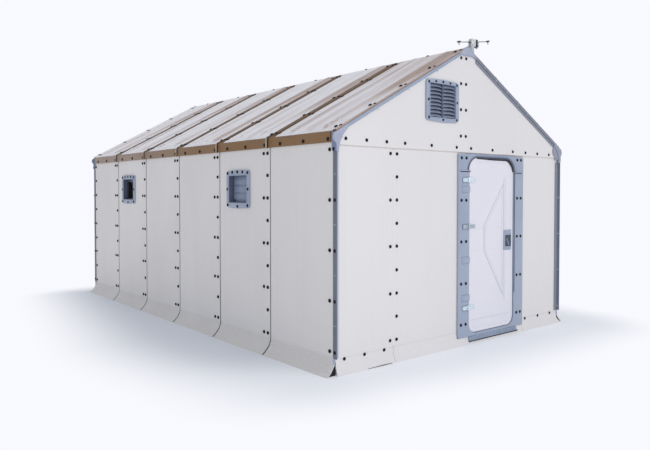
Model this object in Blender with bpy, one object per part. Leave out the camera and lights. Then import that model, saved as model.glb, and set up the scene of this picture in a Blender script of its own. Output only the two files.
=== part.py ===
"""Flat-pack refugee shelter: a steel frame clad in foam sheets, under a pitched roof.

Metres, +Z up. The origin is on the ground in the middle of the plan. X runs across the
shelter, Y along it, and the gable with the door faces -Y.
"""

import math

import bmesh
import bpy
from mathutils import Matrix, Vector
from mathutils.geometry import tessellate_polygon

# Overall sizes
WALL_WIDTH = 3.20
BAY_LENGTH = 0.92
BAY_COUNT = 6
EAVE_HEIGHT = 1.935
RIDGE_HEIGHT = 2.82

# Clearances
TOUCH = 0.0003
RUNNING = 0.0006
JOIN = 0.001
JOIN_FINE = 0.0001
CUT_PAST = 0.1

# Foam sheets
SHEET = 0.012
SHEET_GAP = 0.003
WALL_TOP_DROP = 0.040
SIDE_FLARE = 0.09
SIDE_FLARE_HEIGHT = 0.147
SIDE_FLARE_CURVE = ((0.0, 1.0), (0.14, 0.70), (0.45, 0.30), (1.0, 0.0))
SIDE_FLARE_FOOT = 0.0216
END_FLARE = 0.03
END_FLARE_HEIGHT = 0.13
END_FLARE_CURVE = ((0.0, 1.0), (0.20, 0.55), (0.55, 0.20), (1.0, 0.0))
GABLE_SEAM_DROP = 0.100
GABLE_LAP = 0.060
GABLE_SEAM_X = -0.050
FRONT_SEAM_X = -0.95
REAR_SEAMS_X = (-0.53, 0.53)

# Roof sheets and their covers
BAND_DROP = 0.082
BEAD_WIDTH = 0.022
BEAD_HEIGHT = 0.010
BEAD_RAMP = 0.004
BEAD_START = 0.045
SEAM_GROOVE = 0.004
SEAM_GROOVE_DEPTH = 0.008
RIDGE_GAP = 0.004
ROOF_OVERHANG = 0.0153
COVER_MARGIN = 0.032
COVER_THICKNESS = 0.004
COVER_BORDER = 0.030
COVER_EAVE_MARGIN = 0.014
COVER_COLUMNS = 9
COVER_ROWS = 5
FOLDS = (
    # middle of the fold across the bay at the eave and at the ridge, half width, height
    (0.22, 0.16, 0.055, 0.020),
    (0.47, 0.55, 0.070, 0.014),
    (0.76, 0.70, 0.050, 0.018),
)

# Steel frame
TUBE = 0.030
RIDGE_TUBE = 0.040
PORTAL_SEAMS = (2, 4)
BASE_RAIL_HEIGHT = 0.105
CORNER_ANGLE_SIDE = 0.040
CORNER_ANGLE_END = 0.030
CORNER_ANGLE_THICKNESS = 0.003
CORNER_ANGLE_LOW = 0.148
RAFTER_STRIP_WIDTH = 0.022
RAFTER_STRIP_THICKNESS = 0.003

# Moulded hubs
HUB_THICKNESS = 0.006
HUB_SIDE_THICKNESS = 0.015
HUB_DROP = 0.175
HUB_SIDE_DROP = 0.155
HUB_SIDE_RISE = 0.002
HUB_DISC_RADIUS = 0.042
HUB_DISC_INSET = 0.006
HUB_REACH = 0.115
HUB_GUSSET = ((0.045, 0.060), (0.012, 0.015))
HUB_NOTCH_GAP = 0.001
RIDGE_HUB_HALF_WIDTH = 0.125
RIDGE_HUB_FOOT_HALF_WIDTH = 0.075
RIDGE_HUB_DROP = 0.078
RIDGE_HUB_RISE = 0.015
SADDLE_LENGTH = 0.045
SADDLE_HALF_WIDTH = 0.040

# Door frame, leaf and fittings
DOOR_LEFT = 0.045
DOOR_WIDTH = 0.7165
DOOR_LOW = 0.095
DOOR_HEAD_GAP = 0.015
DOOR_HEAD_WIDTH = 0.030
DOOR_TOP_RADIUS = 0.130
DOOR_BOTTOM_RADIUS = 0.100
DOOR_FLANGE_LEFT_WIDTH = 0.165
DOOR_FLANGE_RIGHT_WIDTH = 0.1585
DOOR_FLANGE_PROUD = 0.015
DOOR_LINING_WALL = 0.040
DOOR_LINING_DEPTH = 0.060
DOOR_STOP_WIDTH = 0.012
JAMB_DROP = 0.025
SILL_LOW = 0.030
SILL_LEFT_INSET = 0.045
SILL_RIGHT_REACH = 0.0935
SILL_PROUD = 0.026
SILL_GASKET = 0.012
LEAF_THICKNESS = 0.040
LEAF_RECESS = 0.010
LEAF_SIDE_CLEARANCE = 0.0035
LEAF_FREE_CLEARANCE = 0.005
LEAF_RIM = 0.020
LEAF_RIM_SLOPE = 0.006
LEAF_CHAMFER = 0.004
LEAF_RELIEF = 0.005
KITE_PLATE_GAP = 0.007
KITE_WIDTH = 0.320
KITE_TOP_DROP = 0.240
KITE_WAIST = (0.880, 1.130)
KITE_FOOT_RISE = 0.305
KITE_SLOPE = 0.020
KITE_TOP_RECESS = 0.001
HINGE_LOW_RISE = 0.256
HINGE_HIGH_DROP = 0.088
HINGE_UPPER_PITCH = 0.444
HINGE_HEIGHT = 0.045
HINGE_PLATE = 0.003
HINGE_AXIS_INSET = 0.015
HINGE_AXIS_PROUD = 0.0065
HINGE_KNUCKLE_RADIUS = 0.0060
HINGE_PIN_RADIUS = 0.0030
HINGE_FRAME_REACH = 0.085
HINGE_STRAP_REACH = 0.110
HINGE_END_KNUCKLE = 0.011
HINGE_PLATE_SETBACK = 0.004
HINGE_PIN_END = 0.002
STRAP_BEND = 0.005
STRAP_BEND_RUN = 0.006
HANDLE_HEIGHT = 0.970
HANDLE_PLATE_GAP = 0.0005
HANDLE_PLATE_WIDTH = 0.123
HANDLE_PLATE_HEIGHT = 0.204
HANDLE_PLATE_THICKNESS = 0.006
HANDLE_WINDOW_MARGINS = (0.025, 0.032, 0.014, 0.028)
HANDLE_PIVOT_INSET = (0.026, 0.025)
HANDLE_SPINDLE_RADIUS = 0.007
HANDLE_SPINDLE_DEPTH = 0.012
HANDLE_SPINDLE_CLEARANCE = 0.0012
LEVER_LENGTH = 0.072
LEVER_WIDTH = 0.018
LEVER_THICKNESS = 0.006
LEVER_LIFT = 0.001
LEVER_REST_ANGLE = 125.0
BOLT_LENGTH = 0.060
BOLT_WIDTH = 0.012
BOLT_TALL = 0.022
BOLT_INSET = 0.001
BOLT_STOP_CLEARANCE = 0.0015
BOLT_END_CLEARANCE = 0.002
LATCH_BOX_WIDTH = 0.090
LATCH_BOX_HEIGHT = 0.050
LATCH_BOX_STOP_GAP = 0.0075
LATCH_BOX_WALL = 0.006

# Windows in the side walls
WINDOW_BAYS = (1, 4)
WINDOW_OFFSET = 0.087
WINDOW_WIDTH = 0.425
WINDOW_HEIGHT = 0.370
WINDOW_DROP = 0.4515
WINDOW_SIDE_FLANGE = 0.045
WINDOW_END_FLANGE = 0.055
WINDOW_BULGE = 0.010
WINDOW_PROUD = 0.015
WINDOW_SLEEVE_WALL = 0.006
WINDOW_SLEEVE_DEPTH = 0.070
SHUTTER_RECESS = 0.050
SHUTTER_THICKNESS = 0.008
SHUTTER_STEP = 0.003
SHUTTER_STEP_SLOPE = 0.004
SHUTTER_STEP_COUNT = 3
SHUTTER_STEP_SHARE = 0.72
SHUTTER_TOP_MARGIN = 0.045
SHUTTER_FOOT_MARGIN = 0.025
SHUTTER_CLEARANCE = 0.004
SHUTTER_OPEN_ANGLE = 80.0
SHUTTER_PIN_RADIUS = 0.0025
SHUTTER_KNUCKLE_RADIUS = 0.0055
SHUTTER_PIN_DROP = 0.012
SHUTTER_PIN_SEAT = 0.003

# Gable vents
VENT_SEAM_GAP = 0.080
VENT_WIDTH = 0.445
VENT_HEIGHT = 0.384
VENT_STRIP_GAP = 0.001
VENT_SIDE_FLANGE = 0.050
VENT_END_FLANGE = 0.042
VENT_BULGE = 0.012
VENT_PROUD = 0.015
VENT_SLEEVE_WALL = 0.006
VENT_MULLION = 0.018
LOUVRE_COUNT = 9
LOUVRE_THICKNESS = 0.003
LOUVRE_DEPTH = 0.026
LOUVRE_TILT = 40.0
LOUVRE_SETBACK = 0.003
LOUVRE_FIRST = 0.004

# Ridge bracket
BRACKET_MIDDLE_X = 0.117
BRACKET_LENGTH = 0.040
BRACKET_FOOT = (0.060, 0.100)
BRACKET_NECK = 0.104
BRACKET_HALF_WIDTH = 0.058
BRACKET_TAPER = 0.008
BRACKET_BASE_RISE = 0.080
BRACKET_TOP_RISE = 0.152
BRACKET_ARM_RISE = 0.128
BRACKET_ARM_TILT = 9.0
BRACKET_ARM_REACH = 0.2385
BRACKET_ARM_WIDTH = 0.014
BRACKET_ARM_THICKNESS = 0.006
BRACKET_PAD = 0.038
BRACKET_PAD_REACH = 0.220
BRACKET_PAD_THICKNESS = 0.007
BRACKET_BOLT_RADIUS = 0.004
BRACKET_BOLT_LENGTH = 0.026

# Places worked out from the sizes above
HALF_WIDTH = WALL_WIDTH / 2
HALF_LENGTH = BAY_LENGTH * BAY_COUNT / 2
WALL_TOP = EAVE_HEIGHT - WALL_TOP_DROP
GABLE_SEAM_HEIGHT = EAVE_HEIGHT - GABLE_SEAM_DROP
BAND_LOW = EAVE_HEIGHT - BAND_DROP
HUB_LOW = EAVE_HEIGHT - HUB_DROP
WINDOW_MIDDLE = EAVE_HEIGHT - WINDOW_DROP
INNER_X = HALF_WIDTH - SHEET - TOUCH
INNER_Y = HALF_LENGTH - SHEET - TOUCH
BAND_IN = HALF_WIDTH + TOUCH
BAND_OUT = BAND_IN + SHEET
GABLE_FACE = HALF_LENGTH + TOUCH + SHEET
STRIP_FACE = GABLE_FACE + TOUCH + RAFTER_STRIP_THICKNESS
ROOF_END = HALF_LENGTH + ROOF_OVERHANG
HUB_FACE = STRIP_FACE + TOUCH + HUB_THICKNESS
SLOPE = (RIDGE_HEIGHT - EAVE_HEIGHT) / BAND_OUT
SLOPE_ANGLE = math.atan(SLOPE)
DOOR_RIGHT = DOOR_LEFT + DOOR_WIDTH
DOOR_FLANGE_LEFT = DOOR_LEFT - DOOR_FLANGE_LEFT_WIDTH
DOOR_FLANGE_RIGHT = DOOR_RIGHT + DOOR_FLANGE_RIGHT_WIDTH
DOOR_FLANGE_TOP = GABLE_SEAM_HEIGHT - DOOR_HEAD_GAP
DOOR_HIGH = DOOR_FLANGE_TOP - DOOR_HEAD_WIDTH
DOOR_LEDGE_HEIGHT = DOOR_HIGH - DOOR_TOP_RADIUS
DOOR_FACE = HALF_LENGTH + DOOR_FLANGE_PROUD
JAMB_LOW = DOOR_LOW - JAMB_DROP
SILL_LEFT = DOOR_LEFT + SILL_LEFT_INSET
SILL_RIGHT = DOOR_RIGHT + SILL_RIGHT_REACH
LEAF_FACE = DOOR_FACE - LEAF_RECESS
BOLT_FRONT = HALF_LENGTH - DOOR_LINING_DEPTH - BOLT_STOP_CLEARANCE
LATCH_BOX_RIGHT = DOOR_RIGHT - DOOR_STOP_WIDTH - LATCH_BOX_STOP_GAP
HINGE_AXIS_X = DOOR_LEFT - HINGE_AXIS_INSET
HINGE_AXIS_Y = DOOR_FACE + HINGE_AXIS_PROUD
HINGE_HIGH = DOOR_LEDGE_HEIGHT - HINGE_HIGH_DROP
HINGE_HEIGHTS = (DOOR_LOW + HINGE_LOW_RISE, HINGE_HIGH - HINGE_UPPER_PITCH, HINGE_HIGH)
HANDLE_PLATE_RIGHT = DOOR_RIGHT - LEAF_FREE_CLEARANCE - LEAF_RIM - LEAF_RIM_SLOPE - HANDLE_PLATE_GAP
HANDLE_PLATE_LEFT = HANDLE_PLATE_RIGHT - HANDLE_PLATE_WIDTH
HANDLE_PLATE_LOW = HANDLE_HEIGHT - HANDLE_PLATE_HEIGHT / 2
HANDLE_WINDOW = (
    HANDLE_PLATE_LEFT + HANDLE_WINDOW_MARGINS[0],
    HANDLE_PLATE_LOW + HANDLE_WINDOW_MARGINS[1],
    HANDLE_PLATE_RIGHT - HANDLE_WINDOW_MARGINS[2],
    HANDLE_PLATE_LOW + HANDLE_PLATE_HEIGHT - HANDLE_WINDOW_MARGINS[3],
)
HANDLE_PIVOT = (HANDLE_WINDOW[2] - HANDLE_PIVOT_INSET[0], HANDLE_WINDOW[1] + HANDLE_PIVOT_INSET[1])
KITE_RIGHT = HANDLE_PLATE_LEFT - KITE_PLATE_GAP
KITE = (
    (KITE_RIGHT, DOOR_HIGH - KITE_TOP_DROP),
    (KITE_RIGHT - KITE_WIDTH, KITE_WAIST[1]),
    (KITE_RIGHT - KITE_WIDTH, KITE_WAIST[0]),
    (KITE_RIGHT, DOOR_LOW + KITE_FOOT_RISE),
)

# Colour, roughness and metallic value of each finish
FINISHES = {
    "wall_foam": ((0.80, 0.79, 0.78), 0.60, 0.0),
    "roof_foam": ((0.34, 0.25, 0.17), 0.65, 0.0),
    "cover_fabric": ((0.80, 0.79, 0.80), 0.75, 0.0),
    "blue_grey_plastic": ((0.36, 0.42, 0.54), 0.45, 0.0),
    "zinc_steel": ((0.62, 0.66, 0.70), 0.35, 0.9),
    "door_plastic": ((0.78, 0.78, 0.84), 0.40, 0.0),
    "black_plastic": ((0.02, 0.02, 0.022), 0.40, 0.0),
    "dark_plastic": ((0.10, 0.12, 0.17), 0.40, 0.0),
}


def clear_scene():
    for item in list(bpy.data.objects):
        bpy.data.objects.remove(item, do_unlink=True)


def finish(name):
    """The Principled material of one finish, made once."""
    found = bpy.data.materials.get(name)
    if found:
        return found
    colour, roughness, metallic = FINISHES[name]
    made = bpy.data.materials.new(name)
    made.use_nodes = True
    shader = made.node_tree.nodes["Principled BSDF"]
    shader.inputs["Base Color"].default_value = (*colour, 1.0)
    shader.inputs["Roughness"].default_value = roughness
    shader.inputs["Metallic"].default_value = metallic
    made.diffuse_color = (*colour, 1.0)
    return made


def make(name, body, finish_name, pivot=(0, 0, 0), turn=None):
    """Turn a bmesh that is drawn in world places into an object with its origin at pivot."""
    bmesh.ops.recalc_face_normals(body, faces=body.faces)
    bmesh.ops.translate(body, verts=body.verts, vec=-Vector(pivot))
    mesh = bpy.data.meshes.new(name)
    body.to_mesh(mesh)
    body.free()
    made = bpy.data.objects.new(name, mesh)
    made.location = pivot
    if turn:
        made.rotation_euler = turn
    mesh.materials.append(finish(finish_name))
    bpy.context.scene.collection.objects.link(made)
    return made


def cut(target, name, body, operation="DIFFERENCE"):
    """Add a Boolean to target with a hidden wire guide drawn from body."""
    guide = make(name, body, "black_plastic")
    guide.hide_render = True
    guide.display_type = "WIRE"
    boolean = target.modifiers.new(name, "BOOLEAN")
    boolean.operation = operation
    boolean.solver = "EXACT"
    boolean.use_self = operation == "UNION"
    boolean.object = guide


def in_space(axis, along, a, b):
    """The point (a, b) of an outline drawn square to an axis, at a place along it."""
    if axis == "X":
        return (along, a, b)
    if axis == "Y":
        return (a, along, b)
    return (a, b, along)


def add_prism(body, axis, low, high, outline, holes=()):
    """An outline, less its holes, extruded along an axis."""
    loops = [list(outline), *[list(hole) for hole in holes]]
    ends = []
    for along in (low, high):
        ends.append([[body.verts.new(in_space(axis, along, a, b)) for a, b in loop] for loop in loops])
    for first, second in zip(*ends):
        for index in range(len(first)):
            after = (index + 1) % len(first)
            body.faces.new((first[index], first[after], second[after], second[index]))
    if not holes:
        for end in ends:
            body.faces.new(end[0])
        return
    flat = [[Vector((a, b, 0.0)) for a, b in loop] for loop in loops]
    for end in ends:
        corners = [vert for loop in end for vert in loop]
        for triangle in tessellate_polygon(flat):
            body.faces.new([corners[index] for index in triangle])


def add_box(body, low, high):
    outline = ((low[0], low[1]), (high[0], low[1]), (high[0], high[1]), (low[0], high[1]))
    add_prism(body, "Z", low[2], high[2], outline)


def add_loft(body, sections):
    """A closed body through sections that have the same number of points."""
    rings = [[body.verts.new(place) for place in section] for section in sections]
    for first, second in zip(rings, rings[1:]):
        for index in range(len(first)):
            after = (index + 1) % len(first)
            body.faces.new((first[index], first[after], second[after], second[index]))
    body.faces.new(rings[0])
    body.faces.new(rings[-1])


def arc(centre, radius, start, end, steps):
    """Points along an arc, in degrees, both ends included."""
    points = []
    for step in range(steps + 1):
        angle = math.radians(start + (end - start) * step / steps)
        points.append((centre[0] + radius * math.cos(angle), centre[1] + radius * math.sin(angle)))
    return points


def circle(centre, radius, sides):
    """A regular outline with a flat side at its top, bottom, left and right."""
    half_side = 180.0 / sides
    return arc(centre, radius, half_side, 360.0 - half_side, sides - 1)


def rounded(left, low, right, high, low_radius, high_radius, steps=4):
    """A rectangle whose two lower and two upper corners have their own radius."""
    return (
        arc((left + low_radius, low + low_radius), low_radius, 180, 270, steps)
        + arc((right - low_radius, low + low_radius), low_radius, 270, 360, steps)
        + arc((right - high_radius, high - high_radius), high_radius, 0, 90, steps)
        + arc((left + high_radius, high - high_radius), high_radius, 90, 180, steps)
    )


def rectangle(left, low, right, high):
    return ((left, low), (right, low), (right, high), (left, high))


def bulged(left, low, right, high, bulge, steps=6):
    """A rectangle whose top and bottom edges bow outwards."""
    points = []
    for step in range(steps + 1):
        across = step / steps
        points.append((left + (right - left) * across, low - bulge * math.sin(math.pi * across)))
    for step in range(steps + 1):
        across = step / steps
        points.append((right - (right - left) * across, high + bulge * math.sin(math.pi * across)))
    return points


def mirrored(outline, side):
    """The outline, or its mirror image across the middle of the shelter."""
    return [(side * a, b) for a, b in outline]


def roof_z(x, depth=0.0):
    """Height of the roof at x, a depth below the outer face of its sheets."""
    return RIDGE_HEIGHT - SLOPE * abs(x) - depth / math.cos(SLOPE_ANGLE)


def seam_y(index):
    """Place of a seam along the shelter, from 0 at the door end."""
    return -HALF_LENGTH + BAY_LENGTH * index


def add_bar(body, axis, low, high, a, b, size=TUBE):
    """A square bar; a and b are its low corner across the axis."""
    add_prism(body, axis, low, high, rectangle(a, b, a + size, b + size))


RAFTER_TOP = SHEET + TOUCH
RAFTER_LOW = RAFTER_TOP + TUBE
GABLE_RAIL_LOW = roof_z(INNER_X, RAFTER_LOW) - TUBE - TOUCH
DOOR_POSTS_X = (DOOR_LEFT - DOOR_LINING_WALL - TOUCH - TUBE, DOOR_RIGHT + DOOR_LINING_WALL + TOUCH)
VENT_RIGHT = GABLE_SEAM_X - VENT_SEAM_GAP
VENT_LEFT = VENT_RIGHT - VENT_WIDTH
VENT_HIGH = roof_z(VENT_LEFT, RAFTER_TOP + RAFTER_STRIP_WIDTH) - VENT_STRIP_GAP + VENT_BULGE
VENT_LOW = VENT_HIGH - VENT_HEIGHT


def portal_outline(posts, notch_tops):
    """Outline of a portal in X and Z: its posts' feet, the notches between them and the rafters."""
    outline = []
    for index, (left, right) in enumerate(posts):
        outline += [(left, 0.0), (right, 0.0)]
        if index < len(notch_tops):
            outline += [(right, notch_tops[index]), (posts[index + 1][0], notch_tops[index])]
    peak = [(x, roof_z(x, RAFTER_TOP)) for x in (INNER_X, 0.0, -INNER_X)]
    return outline + peak


def add_gable_frame(body, end, posts, door_span):
    """Corner posts, end posts, rafters and rails of one end, in one plane."""
    corners = [(-INNER_X, TUBE - INNER_X), *posts, (INNER_X - TUBE, INNER_X)]
    notch_tops = []
    holes = []
    rail_top = GABLE_RAIL_LOW + TUBE
    for index, (near, far) in enumerate(zip(corners, corners[1:])):
        if index == door_span:
            notch_tops.append(GABLE_RAIL_LOW)
        else:
            notch_tops.append(BASE_RAIL_HEIGHT)
            holes.append(rectangle(near[1], BASE_RAIL_HEIGHT + TUBE, far[0], GABLE_RAIL_LOW))
    inner = INNER_X - TUBE
    holes.append([(-inner, rail_top), (inner, rail_top), (inner, roof_z(inner, RAFTER_LOW)),
                  (0.0, roof_z(0.0, RAFTER_LOW)), (-inner, roof_z(inner, RAFTER_LOW))])
    low, high = sorted((end * INNER_Y, end * (INNER_Y - TUBE)))
    add_prism(body, "Y", low, high, portal_outline(corners, notch_tops), holes)


def rafter_band(outer_x, depth_top, depth_low):
    """Outline of an inverted V under the roof, between two depths."""
    upper = [(x, roof_z(x, depth_top)) for x in (-outer_x, 0.0, outer_x)]
    lower = [(x, roof_z(x, depth_low)) for x in (outer_x, 0.0, -outer_x)]
    return upper + lower


def build_frame():
    front_posts = [(x, x + TUBE) for x in (FRONT_SEAM_X - TUBE / 2, *DOOR_POSTS_X)]
    rear_posts = [(x - TUBE / 2, x + TUBE / 2) for x in REAR_SEAMS_X]
    for name, end, posts, door_span in (("front_gable_frame", -1, front_posts, 2),
                                        ("rear_gable_frame", 1, rear_posts, None)):
        body = bmesh.new()
        add_gable_frame(body, end, posts, door_span)
        frame = make(name, body, "zinc_steel")
        packers = bmesh.new()
        low, high = sorted((end * (INNER_Y - TUBE / 2), end * HALF_LENGTH))
        band = rafter_band(INNER_X - TUBE, RAFTER_TOP + TOUCH, RAFTER_LOW - TOUCH)
        add_prism(packers, "Y", low, high, band)
        cut(frame, name + "_packers", packers, "UNION")

    portals = bmesh.new()
    inner = INNER_X - TUBE
    under = [(inner, 0.0), (INNER_X, 0.0), *[(x, roof_z(x, RAFTER_TOP)) for x in (INNER_X, 0.0, -INNER_X)],
             (-INNER_X, 0.0), (-inner, 0.0), *[(x, roof_z(x, RAFTER_LOW)) for x in (-inner, 0.0, inner)]]
    first, last = [seam_y(index) for index in PORTAL_SEAMS]
    add_prism(portals, "Y", first - TUBE / 2, first + TUBE / 2, under)
    frame = make("middle_frame", portals, "zinc_steel")
    beams = bmesh.new()
    add_prism(beams, "Y", last - TUBE / 2, last + TUBE / 2, under)
    reach = INNER_Y - TUBE - TOUCH
    ridge_low = roof_z(RIDGE_TUBE / 2, RAFTER_TOP + TOUCH) - RIDGE_TUBE
    add_bar(beams, "Y", -reach, reach, -RIDGE_TUBE / 2, ridge_low, RIDGE_TUBE)
    eave_low = roof_z(INNER_X, RAFTER_TOP + TOUCH) - TUBE
    for side in (-1, 1):
        x_low = min(side * INNER_X, side * inner)
        add_bar(beams, "Y", -reach, reach, x_low, eave_low)
        add_bar(beams, "Y", -reach, reach, x_low, BASE_RAIL_HEIGHT)
    cut(frame, "long_beams", beams, "UNION")


def build_corner_covers():
    """A steel angle up each corner, with the moulded eave hub at its head."""
    thick = CORNER_ANGLE_THICKNESS
    in_x = HALF_WIDTH + TOUCH
    in_y = HALF_LENGTH + TOUCH
    corner = [
        (in_x + thick, in_y + thick),
        (in_x + thick, in_y - CORNER_ANGLE_SIDE),
        (in_x, in_y - CORNER_ANGLE_SIDE),
        (in_x, in_y),
        (in_x - CORNER_ANGLE_END, in_y),
        (in_x - CORNER_ANGLE_END, in_y + thick),
    ]
    disc = (HALF_WIDTH - HUB_DISC_INSET, EAVE_HEIGHT - HUB_DISC_RADIUS)
    neck = HALF_WIDTH - CORNER_ANGLE_END
    reach = HALF_WIDTH - HUB_REACH
    face = [
        (neck, HUB_LOW),
        (in_x + thick, HUB_LOW),
        (in_x + thick, GABLE_SEAM_HEIGHT),
        *arc(disc, HUB_DISC_RADIUS, -30, 70, 5),
        (reach, roof_z(reach)),
        (reach, roof_z(reach, SHEET + RAFTER_STRIP_WIDTH)),
        *[(neck - inwards, GABLE_SEAM_HEIGHT + up) for inwards, up in HUB_GUSSET],
    ]
    for end, end_name in ((-1, "front"), (1, "rear")):
        for side, side_name in ((-1, "left"), (1, "right")):
            angle = bmesh.new()
            outline = [(side * x, end * y) for x, y in corner]
            add_prism(angle, "Z", CORNER_ANGLE_LOW, GABLE_SEAM_HEIGHT - 2 * TOUCH, outline)
            cover = make(f"corner_cover_{end_name}_{side_name}", angle, "blue_grey_plastic")
            hub = bmesh.new()
            back, front = sorted((end * (STRIP_FACE + TOUCH), end * HUB_FACE))
            add_prism(hub, "Y", back, front, mirrored(face, side))
            near, far = sorted((end * (in_y - CORNER_ANGLE_SIDE), end * (HUB_FACE - JOIN)))
            low, high = sorted((side * (in_x + JOIN_FINE), side * (in_x + HUB_SIDE_THICKNESS)))
            add_box(hub, (low, near, EAVE_HEIGHT - HUB_SIDE_DROP), (high, far, EAVE_HEIGHT + HUB_SIDE_RISE))
            near, far = sorted((end * (in_y + JOIN_FINE), end * (HUB_FACE - JOIN)))
            low, high = sorted((side * (neck + JOIN), side * (in_x + thick - JOIN / 2)))
            add_box(hub, (low, near, HUB_LOW + JOIN), (high, far, GABLE_SEAM_HEIGHT - 3 * TOUCH))
            cut(cover, cover.name + "_hub", hub, "UNION")


def build_gable_caps():
    """The strips along the rafters at each end, joined at the ridge by a moulded hub."""
    peak = [
        (0.0, RIDGE_HEIGHT + RIDGE_HUB_RISE),
        (RIDGE_HUB_HALF_WIDTH, roof_z(RIDGE_HUB_HALF_WIDTH)),
        (RIDGE_HUB_HALF_WIDTH, roof_z(RIDGE_HUB_HALF_WIDTH, RAFTER_STRIP_WIDTH)),
        (RIDGE_HUB_FOOT_HALF_WIDTH, RIDGE_HEIGHT - RIDGE_HUB_DROP),
    ]
    half = SADDLE_HALF_WIDTH
    lift = -TOUCH
    saddle = [
        (0.0, roof_z(0.0, lift)),
        (half, roof_z(half, lift)),
        (half, roof_z(half, lift - HUB_THICKNESS)),
        (0.0, roof_z(0.0, lift - HUB_THICKNESS)),
    ]
    foot = HALF_WIDTH - HUB_REACH / 2
    for name, end in (("gable_cap_front", -1), ("gable_cap_rear", 1)):
        strips = bmesh.new()
        low, high = sorted((end * (GABLE_FACE + TOUCH), end * STRIP_FACE))
        add_prism(strips, "Y", low, high, rafter_band(foot, RAFTER_TOP, RAFTER_TOP + RAFTER_STRIP_WIDTH))
        cap = make(name, strips, "blue_grey_plastic")
        hub = bmesh.new()
        back, front = sorted((end * (STRIP_FACE - JOIN), end * HUB_FACE))
        inner = [(x, min(z, roof_z(x, RAFTER_TOP + TOUCH))) for x, z in peak]
        add_prism(hub, "Y", back, front, inner + [(-x, z) for x, z in reversed(inner[1:])])
        back, front = sorted((end * (ROOF_END + TOUCH), end * HUB_FACE))
        add_prism(hub, "Y", back, front, peak + [(-x, z) for x, z in reversed(peak[1:])])
        near, far = sorted((end * (HALF_LENGTH - SADDLE_LENGTH + TUBE), end * (HUB_FACE - JOIN)))
        add_prism(hub, "Y", near, far, saddle + [(-x, z) for x, z in reversed(saddle[1:3])])
        cut(cap, name + "_hub", hub, "UNION")


def side_profile():
    """Outline of a side wall sheet in X and Z, with its skirt curving out to the ground."""
    outer = [(HALF_WIDTH + SIDE_FLARE * out, SIDE_FLARE_HEIGHT * up) for out, up in SIDE_FLARE_CURVE]
    inner = [(HALF_WIDTH - SHEET, SIDE_FLARE_HEIGHT)]
    for (x, z), (next_x, next_z) in zip(outer[1:], outer[2:]):
        along = Vector((next_x - x, next_z - z)).normalized()
        inner.append((x + along.y * SHEET, z - along.x * SHEET))
    inner.append((HALF_WIDTH + SIDE_FLARE - SIDE_FLARE_FOOT, 0.0))
    return [(HALF_WIDTH, WALL_TOP), *outer, *reversed(inner), (HALF_WIDTH - SHEET, WALL_TOP)]


def end_profile():
    """Outline of an end wall sheet in Y, measured outwards, and Z."""
    outer = [(HALF_LENGTH + END_FLARE * out, END_FLARE_HEIGHT * up) for out, up in END_FLARE_CURVE]
    inner = [(y - SHEET, z) for y, z in reversed(outer)]
    top = GABLE_SEAM_HEIGHT + GABLE_LAP
    return [(HALF_LENGTH, top), *outer, *inner, (HALF_LENGTH - SHEET, top)]


def window_place(bay):
    """Middle of a window along the shelter, in a bay counted from 0 at the door end."""
    return seam_y(bay) + BAY_LENGTH / 2 + WINDOW_OFFSET


def build_side_walls():
    for side, name in ((-1, "left"), (1, "right")):
        for bay in range(BAY_COUNT):
            sheet = bmesh.new()
            near = seam_y(bay) + (SHEET_GAP / 2 if bay else 0.0)
            far = seam_y(bay + 1) - (SHEET_GAP / 2 if bay < BAY_COUNT - 1 else 0.0)
            add_prism(sheet, "Y", near, far, mirrored(side_profile(), side))
            panel = make(f"{name}_panel_{bay + 1}", sheet, "wall_foam")
            if bay in WINDOW_BAYS:
                half_y = WINDOW_WIDTH / 2 - WINDOW_SIDE_FLANGE + WINDOW_SLEEVE_WALL + TOUCH
                half_z = WINDOW_HEIGHT / 2 - WINDOW_END_FLANGE + WINDOW_SLEEVE_WALL + TOUCH
                middle = window_place(bay)
                low, high = sorted((side * (HALF_WIDTH - CUT_PAST), side * (HALF_WIDTH + CUT_PAST)))
                hole = bmesh.new()
                add_box(hole, (low, middle - half_y, WINDOW_MIDDLE - half_z),
                        (high, middle + half_y, WINDOW_MIDDLE + half_z))
                cut(panel, f"{name}_panel_{bay + 1}_hole", hole)


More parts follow.
